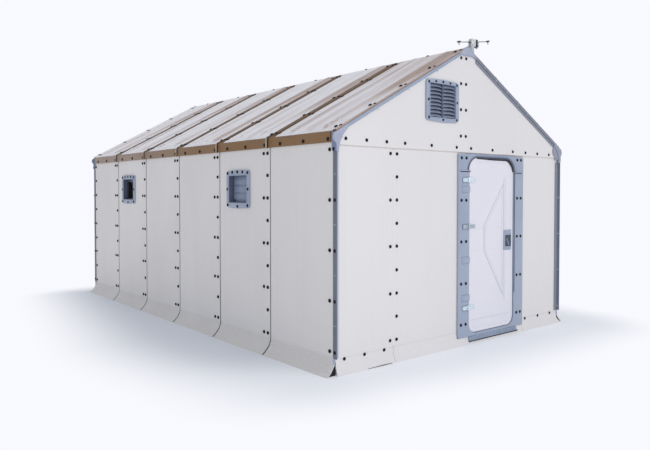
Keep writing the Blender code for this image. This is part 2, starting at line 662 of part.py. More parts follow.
def build_end_walls():
    sheet_edge = DOOR_LEFT - DOOR_LINING_WALL - TOUCH
    far_edge = DOOR_RIGHT + DOOR_LINING_WALL + TOUCH
    gap = SHEET_GAP / 2
    profile = [(-y, z) for y, z in end_profile()]
    spans = (
        ("front_panel_left", -INNER_X, FRONT_SEAM_X - gap),
        ("front_panel_middle", FRONT_SEAM_X + gap, sheet_edge),
        ("front_panel_right", far_edge, INNER_X),
    )
    skirt_cut = {
        "front_panel_middle": (DOOR_FLANGE_LEFT - TOUCH, sheet_edge + CUT_PAST, JAMB_LOW),
        "front_panel_right": (far_edge - CUT_PAST, DOOR_FLANGE_RIGHT + TOUCH, -CUT_PAST),
    }
    for name, left, right in spans:
        sheet = bmesh.new()
        add_prism(sheet, "X", left, right, profile)
        panel = make(name, sheet, "wall_foam")
        if name in skirt_cut:
            left_cut, right_cut, foot = skirt_cut[name]
            notch = bmesh.new()
            add_box(notch, (left_cut, -HALF_LENGTH - CUT_PAST, foot),
                    (right_cut, -HALF_LENGTH + CUT_PAST, END_FLARE_HEIGHT))
            cut(panel, name + "_notch", notch)

    edges = (-INNER_X - gap, *REAR_SEAMS_X, INNER_X + gap)
    for name, left, right in zip(("left", "middle", "right"), edges, edges[1:]):
        sheet = bmesh.new()
        add_prism(sheet, "X", left + gap, right - gap, end_profile())
        make(f"rear_panel_{name}", sheet, "wall_foam")

    top = SHEET + TOUCH
    for name, end, left, right in (("front_gable_left", -1, -INNER_X, GABLE_SEAM_X - gap),
                                   ("front_gable_right", -1, GABLE_SEAM_X + gap, INNER_X),
                                   ("rear_gable_panel", 1, -INNER_X, INNER_X)):
        outline = [(left, GABLE_SEAM_HEIGHT), (right, GABLE_SEAM_HEIGHT), (right, roof_z(right, top))]
        if left < 0 < right:
            outline.append((0.0, roof_z(0.0, top)))
        outline.append((left, roof_z(left, top)))
        vent = vent_hole(end)
        holes = [vent] if left < vent[0][0] and vent[1][0] < right else []
        sheet = bmesh.new()
        low, high = sorted((end * (HALF_LENGTH + TOUCH), end * GABLE_FACE))
        add_prism(sheet, "Y", low, high, outline, holes)
        make(name, sheet, "wall_foam")


def roof_section(y, side, lift):
    """The points of a roof sheet's section; its outer faces are raised by lift past the ridge."""
    ridge = RIDGE_GAP / 2
    outer = BAND_OUT + lift
    near_ridge = min(lift, 0.0)
    places = (
        (ridge, roof_z(ridge, -near_ridge)),
        (BEAD_START, roof_z(BEAD_START, -near_ridge)),
        (BEAD_START + BEAD_HEIGHT, roof_z(BEAD_START + BEAD_HEIGHT, -lift)),
        (outer, roof_z(outer, -lift)),
        (outer, BAND_LOW),
        (BAND_IN, BAND_LOW),
        (BAND_IN, roof_z(BAND_IN, SHEET)),
        (ridge, roof_z(ridge, SHEET)),
    )
    return [(side * x, y, z) for x, z in places]


def cover_height(across, along, width):
    """Rise of a roof cover's top face; across runs from seam to seam, along from ridge to eave."""
    reach = cover_reach()
    if min(across, width - across) <= COVER_BORDER or min(along, reach - along) <= COVER_BORDER:
        return 0.0
    rise = 0.0
    share = along / reach
    for at_eave, at_ridge, half_width, height in FOLDS:
        middle = at_ridge + (at_eave - at_ridge) * share
        rise += height * math.exp(-(((across / width - middle) / half_width) ** 2) / 2)
    return rise * (0.55 + 0.45 * share)


def cover_reach():
    """Length of a cover down the slope."""
    start = RIDGE_GAP / 2 + TOUCH
    return (BAND_OUT - COVER_EAVE_MARGIN - start) / math.cos(SLOPE_ANGLE)


def cover_place(side, y, along, lift):
    """A point a length down the slope, lifted square to it."""
    start = RIDGE_GAP / 2 + TOUCH
    x = start + along * math.cos(SLOPE_ANGLE) + lift * math.sin(SLOPE_ANGLE)
    z = roof_z(start) - along * math.sin(SLOPE_ANGLE) + lift * math.cos(SLOPE_ANGLE)
    return (side * x, y, z)


def grid_stations(length, border, count):
    """Places along a length: its ends, a border in from each, and an even run between."""
    inner = [border + (length - 2 * border) * step / (count - 2) for step in range(count - 1)]
    return [0.0, *inner, length]


def add_cover(body, side):
    """The covers of one slope, flat below and folded above, joined by a strip along the ridge."""
    rows = grid_stations(cover_reach(), COVER_BORDER, COVER_ROWS)
    width = BAY_LENGTH - 2 * COVER_MARGIN
    columns = []
    for bay in range(BAY_COUNT):
        near = seam_y(bay) + COVER_MARGIN
        columns += [(near + across, across) for across in grid_stations(width, COVER_BORDER, COVER_COLUMNS)]
    per_bay = len(columns) // BAY_COUNT
    upper = {}
    under = {}

    def corner(row, column):
        if (row, column) not in upper:
            y, across = columns[column]
            lift = TOUCH + COVER_THICKNESS + cover_height(across, rows[row], width)
            upper[row, column] = body.verts.new(cover_place(side, y, rows[row], lift))
            under[row, column] = body.verts.new(cover_place(side, y, rows[row], TOUCH))
        return (row, column)

    cells = set()
    for row in range(len(rows) - 1):
        for column in range(len(columns) - 1):
            between_bays = column % per_bay == per_bay - 1
            if row == 0 or not between_bays:
                cells.add((row, column))
    for row, column in cells:
        places = ((row, column), (row, column + 1), (row + 1, column + 1), (row + 1, column))
        ring = [corner(*place) for place in places]
        body.faces.new([upper[place] for place in ring])
        body.faces.new([under[place] for place in reversed(ring)])
        beside = ((row - 1, column), (row, column + 1), (row + 1, column), (row, column - 1))
        for index, neighbour in enumerate(beside):
            if neighbour not in cells:
                first, second = ring[index], ring[(index + 1) % 4]
                body.faces.new((upper[first], under[first], under[second], upper[second]))


def roof_stations():
    """Places along the roof and the rise of its outer face there: a bead each side of every seam."""
    half = SEAM_GROOVE / 2
    stations = []
    for bay in range(BAY_COUNT):
        near = seam_y(bay) + half if bay else -ROOF_END
        far = seam_y(bay + 1) - half if bay < BAY_COUNT - 1 else ROOF_END
        stations += [
            (near, BEAD_HEIGHT),
            (near + BEAD_WIDTH, BEAD_HEIGHT),
            (near + BEAD_WIDTH + BEAD_RAMP, 0.0),
            (far - BEAD_WIDTH - BEAD_RAMP, 0.0),
            (far - BEAD_WIDTH, BEAD_HEIGHT),
            (far, BEAD_HEIGHT),
        ]
        if bay < BAY_COUNT - 1:
            stations += [(far + half / 2, -SEAM_GROOVE_DEPTH), (far + half * 1.5, -SEAM_GROOVE_DEPTH)]
    return stations


def build_roof():
    for side, name in ((-1, "left"), (1, "right")):
        sheets = bmesh.new()
        add_loft(sheets, [roof_section(y, side, lift) for y, lift in roof_stations()])
        roof = make(f"roof_panel_{name}", sheets, "roof_foam")
        notches = bmesh.new()
        for end in (-1, 1):
            reach = HALF_LENGTH + TOUCH - CORNER_ANGLE_SIDE - HUB_NOTCH_GAP
            near, far = sorted((end * reach, end * (ROOF_END + CUT_PAST)))
            low, high = sorted((side * (BAND_IN - JOIN), side * (BAND_OUT + CUT_PAST)))
            add_box(notches, (low, near, BAND_LOW - CUT_PAST), (high, far, EAVE_HEIGHT + CUT_PAST))
        cut(roof, f"roof_notches_{name}", notches)
        covers = bmesh.new()
        add_cover(covers, side)
        make(f"roof_cover_{name}", covers, "cover_fabric")


def door_opening(inset=0.0):
    """Outline of the doorway in X and Z, drawn in by inset all round."""
    return rounded(DOOR_LEFT + inset, DOOR_LOW + inset, DOOR_RIGHT - inset, DOOR_HIGH - inset,
                   DOOR_BOTTOM_RADIUS - inset, DOOR_TOP_RADIUS - inset)


def build_door_frame():
    back = -HALF_LENGTH - TOUCH
    low_r = DOOR_BOTTOM_RADIUS
    high_r = DOOR_TOP_RADIUS
    head = [
        (DOOR_FLANGE_LEFT, DOOR_LEDGE_HEIGHT + TOUCH),
        (DOOR_LEFT, DOOR_LEDGE_HEIGHT + TOUCH),
        *reversed(arc((DOOR_LEFT + high_r, DOOR_HIGH - high_r), high_r, 90, 180, 5)),
        *reversed(arc((DOOR_RIGHT - high_r, DOOR_HIGH - high_r), high_r, 0, 90, 5)),
        (DOOR_RIGHT, DOOR_LEDGE_HEIGHT + TOUCH),
        (DOOR_FLANGE_RIGHT, DOOR_LEDGE_HEIGHT + TOUCH),
        (DOOR_FLANGE_RIGHT, DOOR_FLANGE_TOP),
        (DOOR_FLANGE_LEFT, DOOR_FLANGE_TOP),
    ]
    left = [
        (DOOR_FLANGE_LEFT, JAMB_LOW + TOUCH),
        (DOOR_LEFT + low_r, JAMB_LOW + TOUCH),
        *reversed(arc((DOOR_LEFT + low_r, DOOR_LOW + low_r), low_r, 180, 270, 5)),
        (DOOR_LEFT, DOOR_LEDGE_HEIGHT),
        (DOOR_FLANGE_LEFT, DOOR_LEDGE_HEIGHT),
    ]
    right = [
        (DOOR_RIGHT - low_r, JAMB_LOW + TOUCH),
        (DOOR_FLANGE_RIGHT, JAMB_LOW + TOUCH),
        (DOOR_FLANGE_RIGHT, DOOR_LEDGE_HEIGHT),
        (DOOR_RIGHT, DOOR_LEDGE_HEIGHT),
        *reversed(arc((DOOR_RIGHT - low_r, DOOR_LOW + low_r), low_r, 270, 360, 5)),
    ]
    sill = [
        (SILL_LEFT, SILL_LOW),
        (SILL_RIGHT, SILL_LOW),
        (SILL_RIGHT, JAMB_LOW),
        (DOOR_RIGHT - low_r - TOUCH, JAMB_LOW),
        (DOOR_RIGHT - low_r - TOUCH, DOOR_LOW),
        (DOOR_LEFT + low_r + TOUCH, DOOR_LOW),
        (DOOR_LEFT + low_r + TOUCH, JAMB_LOW),
        (SILL_LEFT, JAMB_LOW),
    ]
    pieces = (
        ("door_head", head, DOOR_FACE),
        ("door_jamb_left", left, DOOR_FACE),
        ("door_jamb_right", right, DOOR_FACE),
        ("door_sill", sill, HALF_LENGTH + SILL_PROUD),
    )
    for name, outline, face in pieces:
        body = bmesh.new()
        add_prism(body, "Y", -face, back, outline)
        make(name, body, "blue_grey_plastic")

    lining = bmesh.new()
    front = -HALF_LENGTH
    stop = -LEAF_FACE + LEAF_THICKNESS + RUNNING
    rear = front + DOOR_LINING_DEPTH
    outer = rectangle(DOOR_LEFT - DOOR_LINING_WALL, SILL_LOW + SILL_GASKET,
                      DOOR_RIGHT + DOOR_LINING_WALL, GABLE_RAIL_LOW - 2 * TOUCH)
    add_prism(lining, "Y", front, stop, outer, [door_opening()])
    frame = make("door_lining", lining, "blue_grey_plastic")
    lip = bmesh.new()
    add_prism(lip, "Y", stop - JOIN, rear, rectangle(outer[0][0] + JOIN, outer[0][1] + JOIN,
                                                     outer[2][0] - JOIN, outer[2][1] - JOIN),
              [door_opening(DOOR_STOP_WIDTH)])
    keeper = bmesh.new()
    add_prism(keeper, "Y", stop - LEAF_THICKNESS / 2, stop, door_opening())
    cut(frame, "door_stop", lip, "UNION")
    cut(frame, "door_stop_clearance", keeper)


def leaf_outline(inset):
    left = DOOR_LEFT + LEAF_SIDE_CLEARANCE
    right = DOOR_RIGHT - LEAF_FREE_CLEARANCE
    low = DOOR_LOW + LEAF_SIDE_CLEARANCE
    high = DOOR_HIGH - LEAF_SIDE_CLEARANCE
    return rounded(left + inset, low + inset, right - inset, high - inset,
                   DOOR_BOTTOM_RADIUS - LEAF_SIDE_CLEARANCE - inset,
                   DOOR_TOP_RADIUS - LEAF_SIDE_CLEARANCE - inset)


def build_door_leaf():
    """The leaf: a slab with a raised rim and kite on its outer face, and the latch box inside."""
    body = bmesh.new()
    face = -LEAF_FACE
    loops = [
        [(x, face + LEAF_THICKNESS, z) for x, z in leaf_outline(0.0)],
        [(x, face + LEAF_CHAMFER, z) for x, z in leaf_outline(0.0)],
        [(x, face, z) for x, z in leaf_outline(LEAF_CHAMFER)],
        [(x, face, z) for x, z in leaf_outline(LEAF_RIM)],
        [(x, face + LEAF_RELIEF, z) for x, z in leaf_outline(LEAF_RIM + LEAF_RIM_SLOPE)],
    ]
    rings = [[body.verts.new(place) for place in loop] for loop in loops]
    for first, second in zip(rings, rings[1:]):
        for index in range(len(first)):
            after = (index + 1) % len(first)
            body.faces.new((first[index], first[after], second[after], second[index]))
    body.faces.new(rings[0])
    middle_x = sum(x for x, z in KITE) / len(KITE)
    middle_z = sum(z for x, z in KITE) / len(KITE)
    top = []
    for x, z in KITE:
        away = Vector((x - middle_x, z - middle_z))
        inner = Vector((middle_x, middle_z)) + away * (1.0 - KITE_SLOPE / away.length)
        top.append((inner.x, inner.y))
    foot_ring = [body.verts.new((x, face + LEAF_RELIEF, z)) for x, z in KITE]
    top_ring = [body.verts.new((x, face + KITE_TOP_RECESS, z)) for x, z in top]
    for index in range(len(KITE)):
        after = (index + 1) % len(KITE)
        body.faces.new((foot_ring[index], foot_ring[after], top_ring[after], top_ring[index]))
    body.faces.new(top_ring)
    field = [Vector((x, z, 0.0)) for x, z in leaf_outline(LEAF_RIM + LEAF_RIM_SLOPE)]
    hole = [Vector((x, z, 0.0)) for x, z in KITE]
    corners = rings[-1] + foot_ring
    for triangle in tessellate_polygon([field, hole]):
        body.faces.new([corners[index] for index in triangle])
    pivot = (HINGE_AXIS_X, -HINGE_AXIS_Y, DOOR_LOW)
    leaf = make("door_leaf", body, "door_plastic", pivot)

    latch_box = bmesh.new()
    half_z = LATCH_BOX_HEIGHT / 2
    leaf_back = face + LEAF_THICKNESS
    box_back = -BOLT_FRONT + BOLT_WIDTH + RUNNING + LATCH_BOX_WALL
    add_box(latch_box, (LATCH_BOX_RIGHT - LATCH_BOX_WIDTH, leaf_back - JOIN, HANDLE_HEIGHT - half_z),
            (LATCH_BOX_RIGHT, box_back, HANDLE_HEIGHT + half_z))
    cut(leaf, "latch_box", latch_box, "UNION")
    channel = bmesh.new()
    half_z = BOLT_TALL / 2 + RUNNING
    channel_end = LATCH_BOX_RIGHT - BOLT_INSET - BOLT_LENGTH - BOLT_END_CLEARANCE
    add_box(channel, (channel_end, -BOLT_FRONT - RUNNING, HANDLE_HEIGHT - half_z),
            (LATCH_BOX_RIGHT + CUT_PAST, -BOLT_FRONT + BOLT_WIDTH + RUNNING, HANDLE_HEIGHT + half_z))
    cut(leaf, "bolt_channel", channel)
    spindle = bmesh.new()
    add_prism(spindle, "Y", face - CUT_PAST, face + LEAF_RELIEF + HANDLE_SPINDLE_DEPTH + RUNNING,
              circle(HANDLE_PIVOT, HANDLE_SPINDLE_RADIUS + HANDLE_SPINDLE_CLEARANCE, 12))
    cut(leaf, "spindle_hole", spindle)
    return pivot


def build_hinges(pivot):
    """Three hinges: a plate on the jamb that holds the pin, and a strap on the leaf."""
    flat = HINGE_KNUCKLE_RADIUS * math.cos(math.pi / 8)
    axis_y = -HINGE_AXIS_Y
    loose_bore = circle((HINGE_AXIS_X, axis_y), HINGE_PIN_RADIUS + RUNNING, 8)
    knuckle = circle((HINGE_AXIS_X, axis_y), HINGE_KNUCKLE_RADIUS, 8)
    plate_low = -DOOR_FACE - TOUCH
    plate_top = plate_low - HINGE_PLATE
    corner = max((place for place in knuckle if place[0] < HINGE_AXIS_X), key=lambda place: place[1])
    start = knuckle.index(corner)
    around = knuckle[start:] + knuckle[:start]
    start_x = HINGE_AXIS_X - HINGE_FRAME_REACH
    low_y = axis_y + flat
    frame_outline = [
        (start_x, plate_low),
        (start_x, plate_top),
        (around[1][0], plate_top),
        *around[2:],
        around[0],
        (around[1][0], plate_low),
    ]
    mirror = [(2 * HINGE_AXIS_X - x, y) for x, y in around]
    edge = DOOR_LEFT + STRAP_BEND
    leaf_low = -LEAF_FACE - TOUCH
    reach = HINGE_AXIS_X + HINGE_STRAP_REACH
    strap_outline = [
        (edge, low_y),
        (edge + STRAP_BEND_RUN, leaf_low),
        (reach, leaf_low),
        (reach, leaf_low - HINGE_PLATE),
        (edge + STRAP_BEND_RUN + HINGE_PLATE / 2, leaf_low - HINGE_PLATE),
        (edge + HINGE_PLATE / 2, plate_top),
        (mirror[1][0], plate_top),
        *mirror[2:],
        mirror[0],
    ]
    for middle, name in zip(HINGE_HEIGHTS, ("low", "middle", "high")):
        low = middle - HINGE_HEIGHT / 2
        high = middle + HINGE_HEIGHT / 2
        plate = bmesh.new()
        knuckle_edge = HINGE_AXIS_X - HINGE_KNUCKLE_RADIUS - HINGE_PLATE_SETBACK
        add_box(plate, (start_x, plate_top, low), (knuckle_edge, plate_low, high))
        made = make(f"hinge_plate_{name}", plate, "zinc_steel")
        ends = bmesh.new()
        for foot, head in ((low, low + HINGE_END_KNUCKLE), (high - HINGE_END_KNUCKLE, high)):
            add_prism(ends, "Z", foot, head, frame_outline)
        add_prism(ends, "Z", low - HINGE_PIN_END, high + HINGE_PIN_END,
                  circle((HINGE_AXIS_X, axis_y), HINGE_PIN_RADIUS, 8))
        cut(made, made.name + "_knuckles", ends, "UNION")
        strap = bmesh.new()
        add_prism(strap, "Z", low + HINGE_END_KNUCKLE + TOUCH, high - HINGE_END_KNUCKLE - TOUCH,
                  strap_outline, [loose_bore])
        make(f"hinge_strap_{name}", strap, "zinc_steel", pivot)


def build_handle():
    """The handle's plate and lever, and the bolt that the lever throws."""
    face = -LEAF_FACE + LEAF_RELIEF
    edges = rectangle(HANDLE_PLATE_LEFT, HANDLE_PLATE_LOW, HANDLE_PLATE_RIGHT,
                      HANDLE_PLATE_LOW + HANDLE_PLATE_HEIGHT)
    plate = bmesh.new()
    plate_top = face - TOUCH - HANDLE_PLATE_THICKNESS
    add_prism(plate, "Y", plate_top, face - TOUCH, edges, [rectangle(*HANDLE_WINDOW)])
    pivot = (HINGE_AXIS_X, -HINGE_AXIS_Y, DOOR_LOW)
    make("handle_plate", plate, "blue_grey_plastic", pivot)

    lever = bmesh.new()
    angle = math.radians(LEVER_REST_ANGLE)
    direction = Vector((math.cos(angle), math.sin(angle)))
    normal = Vector((-direction.y, direction.x))
    start = Vector(HANDLE_PIVOT)
    outline = []
    for step in range(7):
        turn = math.radians(90 + 30 * step)
        outline.append(start + (direction * math.cos(turn) + normal * math.sin(turn)) * LEVER_WIDTH / 2)
    tip = start + direction * LEVER_LENGTH
    outline.append(tip - normal * LEVER_WIDTH / 3)
    outline.append(tip + normal * LEVER_WIDTH / 3)
    lever_face = face - LEVER_LIFT - LEVER_THICKNESS
    add_prism(lever, "Y", lever_face, face - LEVER_LIFT, [(place.x, place.y) for place in outline])
    handle_pivot = (HANDLE_PIVOT[0], lever_face, HANDLE_PIVOT[1])
    made = make("handle_lever", lever, "dark_plastic", handle_pivot)
    spindle = bmesh.new()
    add_prism(spindle, "Y", face - LEVER_LIFT - JOIN, face + HANDLE_SPINDLE_DEPTH,
              circle(HANDLE_PIVOT, HANDLE_SPINDLE_RADIUS, 12))
    cut(made, "lever_spindle", spindle, "UNION")

    edge = LATCH_BOX_RIGHT - BOLT_INSET
    bolt = bmesh.new()
    add_box(bolt, (edge - BOLT_LENGTH, -BOLT_FRONT, HANDLE_HEIGHT - BOLT_TALL / 2),
            (edge, -BOLT_FRONT + BOLT_WIDTH, HANDLE_HEIGHT + BOLT_TALL / 2))
    make("latch_bolt", bolt, "zinc_steel", (edge, -BOLT_FRONT, HANDLE_HEIGHT))


def shutter_profile():
    """Outline of a closed shutter in X and Z from its pin, outwards being +X, and its bore."""
    half_z = WINDOW_HEIGHT / 2 - WINDOW_END_FLANGE
    outer = SHUTTER_KNUCKLE_RADIUS + SHUTTER_THICKNESS + SHUTTER_STEP
    inner = SHUTTER_KNUCKLE_RADIUS * math.cos(math.pi / 8)
    top = SHUTTER_PIN_DROP - SHUTTER_CLEARANCE
    foot = -(2 * half_z - SHUTTER_PIN_DROP - SHUTTER_CLEARANCE)
    knuckle = arc((0.0, 0.0), SHUTTER_KNUCKLE_RADIUS, 67.5, 292.5, 5)
    steps = []
    start = top - SHUTTER_TOP_MARGIN
    pitch = (start - foot - SHUTTER_FOOT_MARGIN) / SHUTTER_STEP_COUNT
    for band in range(SHUTTER_STEP_COUNT):
        high = start - pitch * band
        low = high - pitch * SHUTTER_STEP_SHARE
        steps += [(outer, high), (outer, low), (outer - SHUTTER_STEP, low - SHUTTER_STEP_SLOPE)]
        if band < SHUTTER_STEP_COUNT - 1:
            steps.append((outer - SHUTTER_STEP, high - pitch + SHUTTER_STEP_SLOPE))
    outline = [
        (inner, top),
        (outer, top),
        *steps,
        (outer - SHUTTER_STEP, foot),
        (inner, foot),
        (inner, knuckle[-1][1]),
        *reversed(knuckle),
    ]
    return outline, circle((0.0, 0.0), SHUTTER_PIN_RADIUS + RUNNING, 8)


def build_windows():
    """Four windows: a frame in the sheet, and a shutter that swings inwards on a pin at its top."""
    half_y = WINDOW_WIDTH / 2
    half_z = WINDOW_HEIGHT / 2
    in_y = half_y - WINDOW_SIDE_FLANGE
    in_z = half_z - WINDOW_END_FLANGE
    face = HALF_WIDTH + WINDOW_PROUD
    pin_x = face - SHUTTER_RECESS - SHUTTER_KNUCKLE_RADIUS - SHUTTER_THICKNESS - SHUTTER_STEP
    pin_z = WINDOW_MIDDLE + in_z - SHUTTER_PIN_DROP
    for side, side_name in ((-1, "left"), (1, "right")):
        for bay, place_name in zip(WINDOW_BAYS, ("near", "far")):
            middle = window_place(bay)
            inner = rectangle(middle - in_y, WINDOW_MIDDLE - in_z, middle + in_y, WINDOW_MIDDLE + in_z)
            wall = WINDOW_SLEEVE_WALL
            sleeve_outer = rectangle(middle - in_y - wall, WINDOW_MIDDLE - in_z - wall,
                                     middle + in_y + wall, WINDOW_MIDDLE + in_z + wall)
            outer = bulged(middle - half_y, WINDOW_MIDDLE - half_z + WINDOW_BULGE, middle + half_y,
                           WINDOW_MIDDLE + half_z - WINDOW_BULGE, WINDOW_BULGE)
            flange = bmesh.new()
            low, high = sorted((side * (HALF_WIDTH + TOUCH), side * face))
            add_prism(flange, "X", low, high, outer, [inner])
            frame = make(f"window_frame_{side_name}_{place_name}", flange, "blue_grey_plastic")
            sleeve = bmesh.new()
            low, high = sorted((side * (face - WINDOW_SLEEVE_DEPTH), side * (HALF_WIDTH + WINDOW_PROUD / 3)))
            add_prism(sleeve, "X", low, high, sleeve_outer, [inner])
            add_prism(sleeve, "Y", middle - in_y - SHUTTER_PIN_SEAT, middle + in_y + SHUTTER_PIN_SEAT,
                      circle((side * pin_x, pin_z), SHUTTER_PIN_RADIUS, 8))
            cut(frame, frame.name + "_sleeve", sleeve, "UNION")

            outline, bore = shutter_profile()
            plate = bmesh.new()
            width = in_y - SHUTTER_CLEARANCE
            pivot = Vector((side * pin_x, middle, pin_z))
            places = [(pivot.x + side * x, pivot.z + z) for x, z in outline]
            bore_places = [(pivot.x + side * x, pivot.z + z) for x, z in bore]
            add_prism(plate, "Y", middle - width, middle + width, places, [bore_places])
            is_open = side < 0 and place_name == "far"
            turn = (0.0, -math.radians(SHUTTER_OPEN_ANGLE), 0.0) if is_open else None
            make(f"shutter_{side_name}_{place_name}", plate, "blue_grey_plastic", pivot, turn)


def vent_hole(end):
    """Hole in the gable sheet for a vent; the rear vent is a turned copy of the front one."""
    left = VENT_LEFT + VENT_SIDE_FLANGE - VENT_SLEEVE_WALL - TOUCH
    right = VENT_RIGHT - VENT_SIDE_FLANGE + VENT_SLEEVE_WALL + TOUCH
    low = VENT_LOW + VENT_END_FLANGE - VENT_SLEEVE_WALL - TOUCH
    high = VENT_HIGH - VENT_END_FLANGE + VENT_SLEEVE_WALL + TOUCH
    if end > 0:
        left, right = -right, -left
    return rectangle(left, low, right, high)


def build_vents():
    for end, name in ((-1, "vent_front"), (1, "vent_rear")):
        left, right = (VENT_LEFT, VENT_RIGHT) if end < 0 else (-VENT_RIGHT, -VENT_LEFT)
        in_left = left + VENT_SIDE_FLANGE
        in_right = right - VENT_SIDE_FLANGE
        in_low = VENT_LOW + VENT_END_FLANGE
        in_high = VENT_HIGH - VENT_END_FLANGE
        middle = (left + right) / 2
        half = VENT_MULLION / 2
        holes = [
            rectangle(in_left, in_low, middle - half, in_high),
            rectangle(middle + half, in_low, in_right, in_high),
        ]
        outer = bulged(left, VENT_LOW + VENT_BULGE, right, VENT_HIGH - VENT_BULGE, VENT_BULGE)
        flange = bmesh.new()
        low, high = sorted((end * (GABLE_FACE + TOUCH), end * (GABLE_FACE + VENT_PROUD)))
        add_prism(flange, "Y", low, high, outer, holes)
        vent = make(name, flange, "blue_grey_plastic")
        tilt = math.radians(LOUVRE_TILT)
        run = LOUVRE_DEPTH * math.cos(tilt)
        rise = LOUVRE_DEPTH * math.sin(tilt)
        pitch = (in_high - in_low) / LOUVRE_COUNT
        front = GABLE_FACE + VENT_PROUD - LOUVRE_SETBACK
        blades = bmesh.new()
        for index in range(LOUVRE_COUNT):
            foot = in_low + pitch * index + LOUVRE_FIRST
            blade = [
                (end * front, foot),
                (end * front, foot + LOUVRE_THICKNESS),
                (end * (front - run), foot + rise + LOUVRE_THICKNESS),
                (end * (front - run), foot + rise),
            ]
            add_prism(blades, "X", in_left - JOIN, in_right + JOIN, blade)
        cut(vent, name + "_louvres", blades, "UNION")


def build_bracket():
    """The clamp beside the ridge at the door end, with two arms for a panel."""
    near = -ROOF_END
    bead = -BEAD_HEIGHT - TOUCH
    seat = roof_z(BRACKET_MIDDLE_X, bead)
    base = seat + BRACKET_BASE_RISE
    top = seat + BRACKET_TOP_RISE
    left = BRACKET_MIDDLE_X - BRACKET_HALF_WIDTH
    right = BRACKET_MIDDLE_X + BRACKET_HALF_WIDTH
    outline = [
        *[(x, roof_z(x, bead)) for x in BRACKET_FOOT],
        (BRACKET_NECK, base),
        (right, base),
        (right - BRACKET_TAPER, top),
        (left + BRACKET_TAPER, top),
        (left, base),
    ]
    clamp = bmesh.new()
    add_prism(clamp, "Y", near, near + BRACKET_LENGTH, outline)
    made = make("ridge_bracket", clamp, "zinc_steel")

    arms = bmesh.new()
    middle = near + BRACKET_LENGTH / 2
    low = seat + BRACKET_ARM_RISE - BRACKET_ARM_THICKNESS / 2
    high = low + BRACKET_ARM_THICKNESS
    half = BRACKET_ARM_WIDTH / 2
    add_box(arms, (BRACKET_MIDDLE_X - BRACKET_ARM_REACH, middle - half, low),
            (BRACKET_MIDDLE_X + BRACKET_ARM_REACH, middle + half, high))
    pads = bmesh.new()
    for side in (-1, 1):
        place = (BRACKET_MIDDLE_X + side * BRACKET_PAD_REACH, middle)
        add_prism(pads, "Z", high - JOIN, high + BRACKET_PAD_THICKNESS, circle(place, BRACKET_PAD / 2, 12))
        add_prism(pads, "Z", low - BRACKET_BOLT_LENGTH, low + JOIN, circle(place, BRACKET_BOLT_RADIUS, 8))
    tilt = Matrix.Rotation(-math.radians(BRACKET_ARM_TILT), 3, "Y")
    for body in (arms, pads):
        centre = (BRACKET_MIDDLE_X, middle, seat + BRACKET_ARM_RISE)
        bmesh.ops.rotate(body, cent=centre, matrix=tilt, verts=body.verts)
    cut(made, "bracket_arms", arms, "UNION")
    cut(made, "bracket_pads", pads, "UNION")


def build():
    clear_scene()
    build_frame()
    build_corner_covers()
    build_gable_caps()
    build_side_walls()
    build_end_walls()
    build_roof()
    build_door_frame()
    pivot = build_door_leaf()
    build_hinges(pivot)
    build_handle()
    build_windows()
    build_vents()
    build_bracket()


build()
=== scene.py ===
"""Looks of the flat-pack refugee shelter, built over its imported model.

Metres, +Z up, door end towards -Y. Each piece is drawn where the model has it.
"""

import math

import bmesh
import bpy
from mathutils import Matrix, Vector, noise
from mathutils.geometry import tessellate_polygon


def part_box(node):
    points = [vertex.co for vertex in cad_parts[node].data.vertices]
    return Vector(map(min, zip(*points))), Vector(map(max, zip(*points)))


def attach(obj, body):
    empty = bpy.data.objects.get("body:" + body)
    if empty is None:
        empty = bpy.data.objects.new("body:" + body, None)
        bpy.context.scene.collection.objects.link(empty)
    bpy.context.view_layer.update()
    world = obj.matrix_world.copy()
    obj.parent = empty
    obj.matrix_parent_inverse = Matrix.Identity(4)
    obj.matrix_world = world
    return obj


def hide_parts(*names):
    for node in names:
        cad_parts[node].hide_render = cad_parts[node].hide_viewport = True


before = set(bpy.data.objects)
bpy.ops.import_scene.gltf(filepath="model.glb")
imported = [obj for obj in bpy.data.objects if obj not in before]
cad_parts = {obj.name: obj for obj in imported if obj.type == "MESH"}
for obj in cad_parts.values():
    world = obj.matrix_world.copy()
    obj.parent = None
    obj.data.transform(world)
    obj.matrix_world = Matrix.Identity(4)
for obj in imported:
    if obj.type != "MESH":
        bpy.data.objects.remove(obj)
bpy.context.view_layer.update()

# Sizes that the looks share
HALF_W = 1.6
HALF_L = 2.76
BAY = 0.92
BAYS = 6
EAVE = 1.935
RIDGE = 2.82
SHEET = 0.012
TOUCH = 0.0003
BAND_OUT = HALF_W + TOUCH + SHEET
BAND_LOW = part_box("roof_panel_left")[0].z
SLOPE = (RIDGE - EAVE) / BAND_OUT
ANGLE = math.atan(SLOPE)
WALL_TOP = 1.895
GABLE_SEAM = 1.835
GABLE_FACE = HALF_L + TOUCH + SHEET
GABLE_MIDDLE = -0.05
STRIP_FACE = GABLE_FACE + TOUCH + 0.003
DOOR_FACE = HALF_L + 0.015
LEAF_FACE = DOOR_FACE - 0.01
DOOR_LEFT, DOOR_RIGHT, DOOR_LOW, DOOR_HIGH = 0.045, 0.7615, 0.095, 1.79
SIDES = ((-1, "left"), (1, "right"))
ENDS = ((-1, "front"), (1, "rear"))


def seam_y(index):
    return -HALF_L + BAY * index


def roof_z(x, depth=0.0):
    return RIDGE - SLOPE * abs(x) - depth / math.cos(ANGLE)


def smooth(value, low=0.0, high=1.0):
    share = min(1.0, max(0.0, (value - low) / (high - low)))
    return share * share * (3 - 2 * share)


def near_to(value, place, reach):
    return max(0.0, 1.0 - abs(value - place) / reach)


def wander(*place):
    """A smooth repeatable value between about -1 and 1."""
    return noise.noise(Vector(place))


# Materials

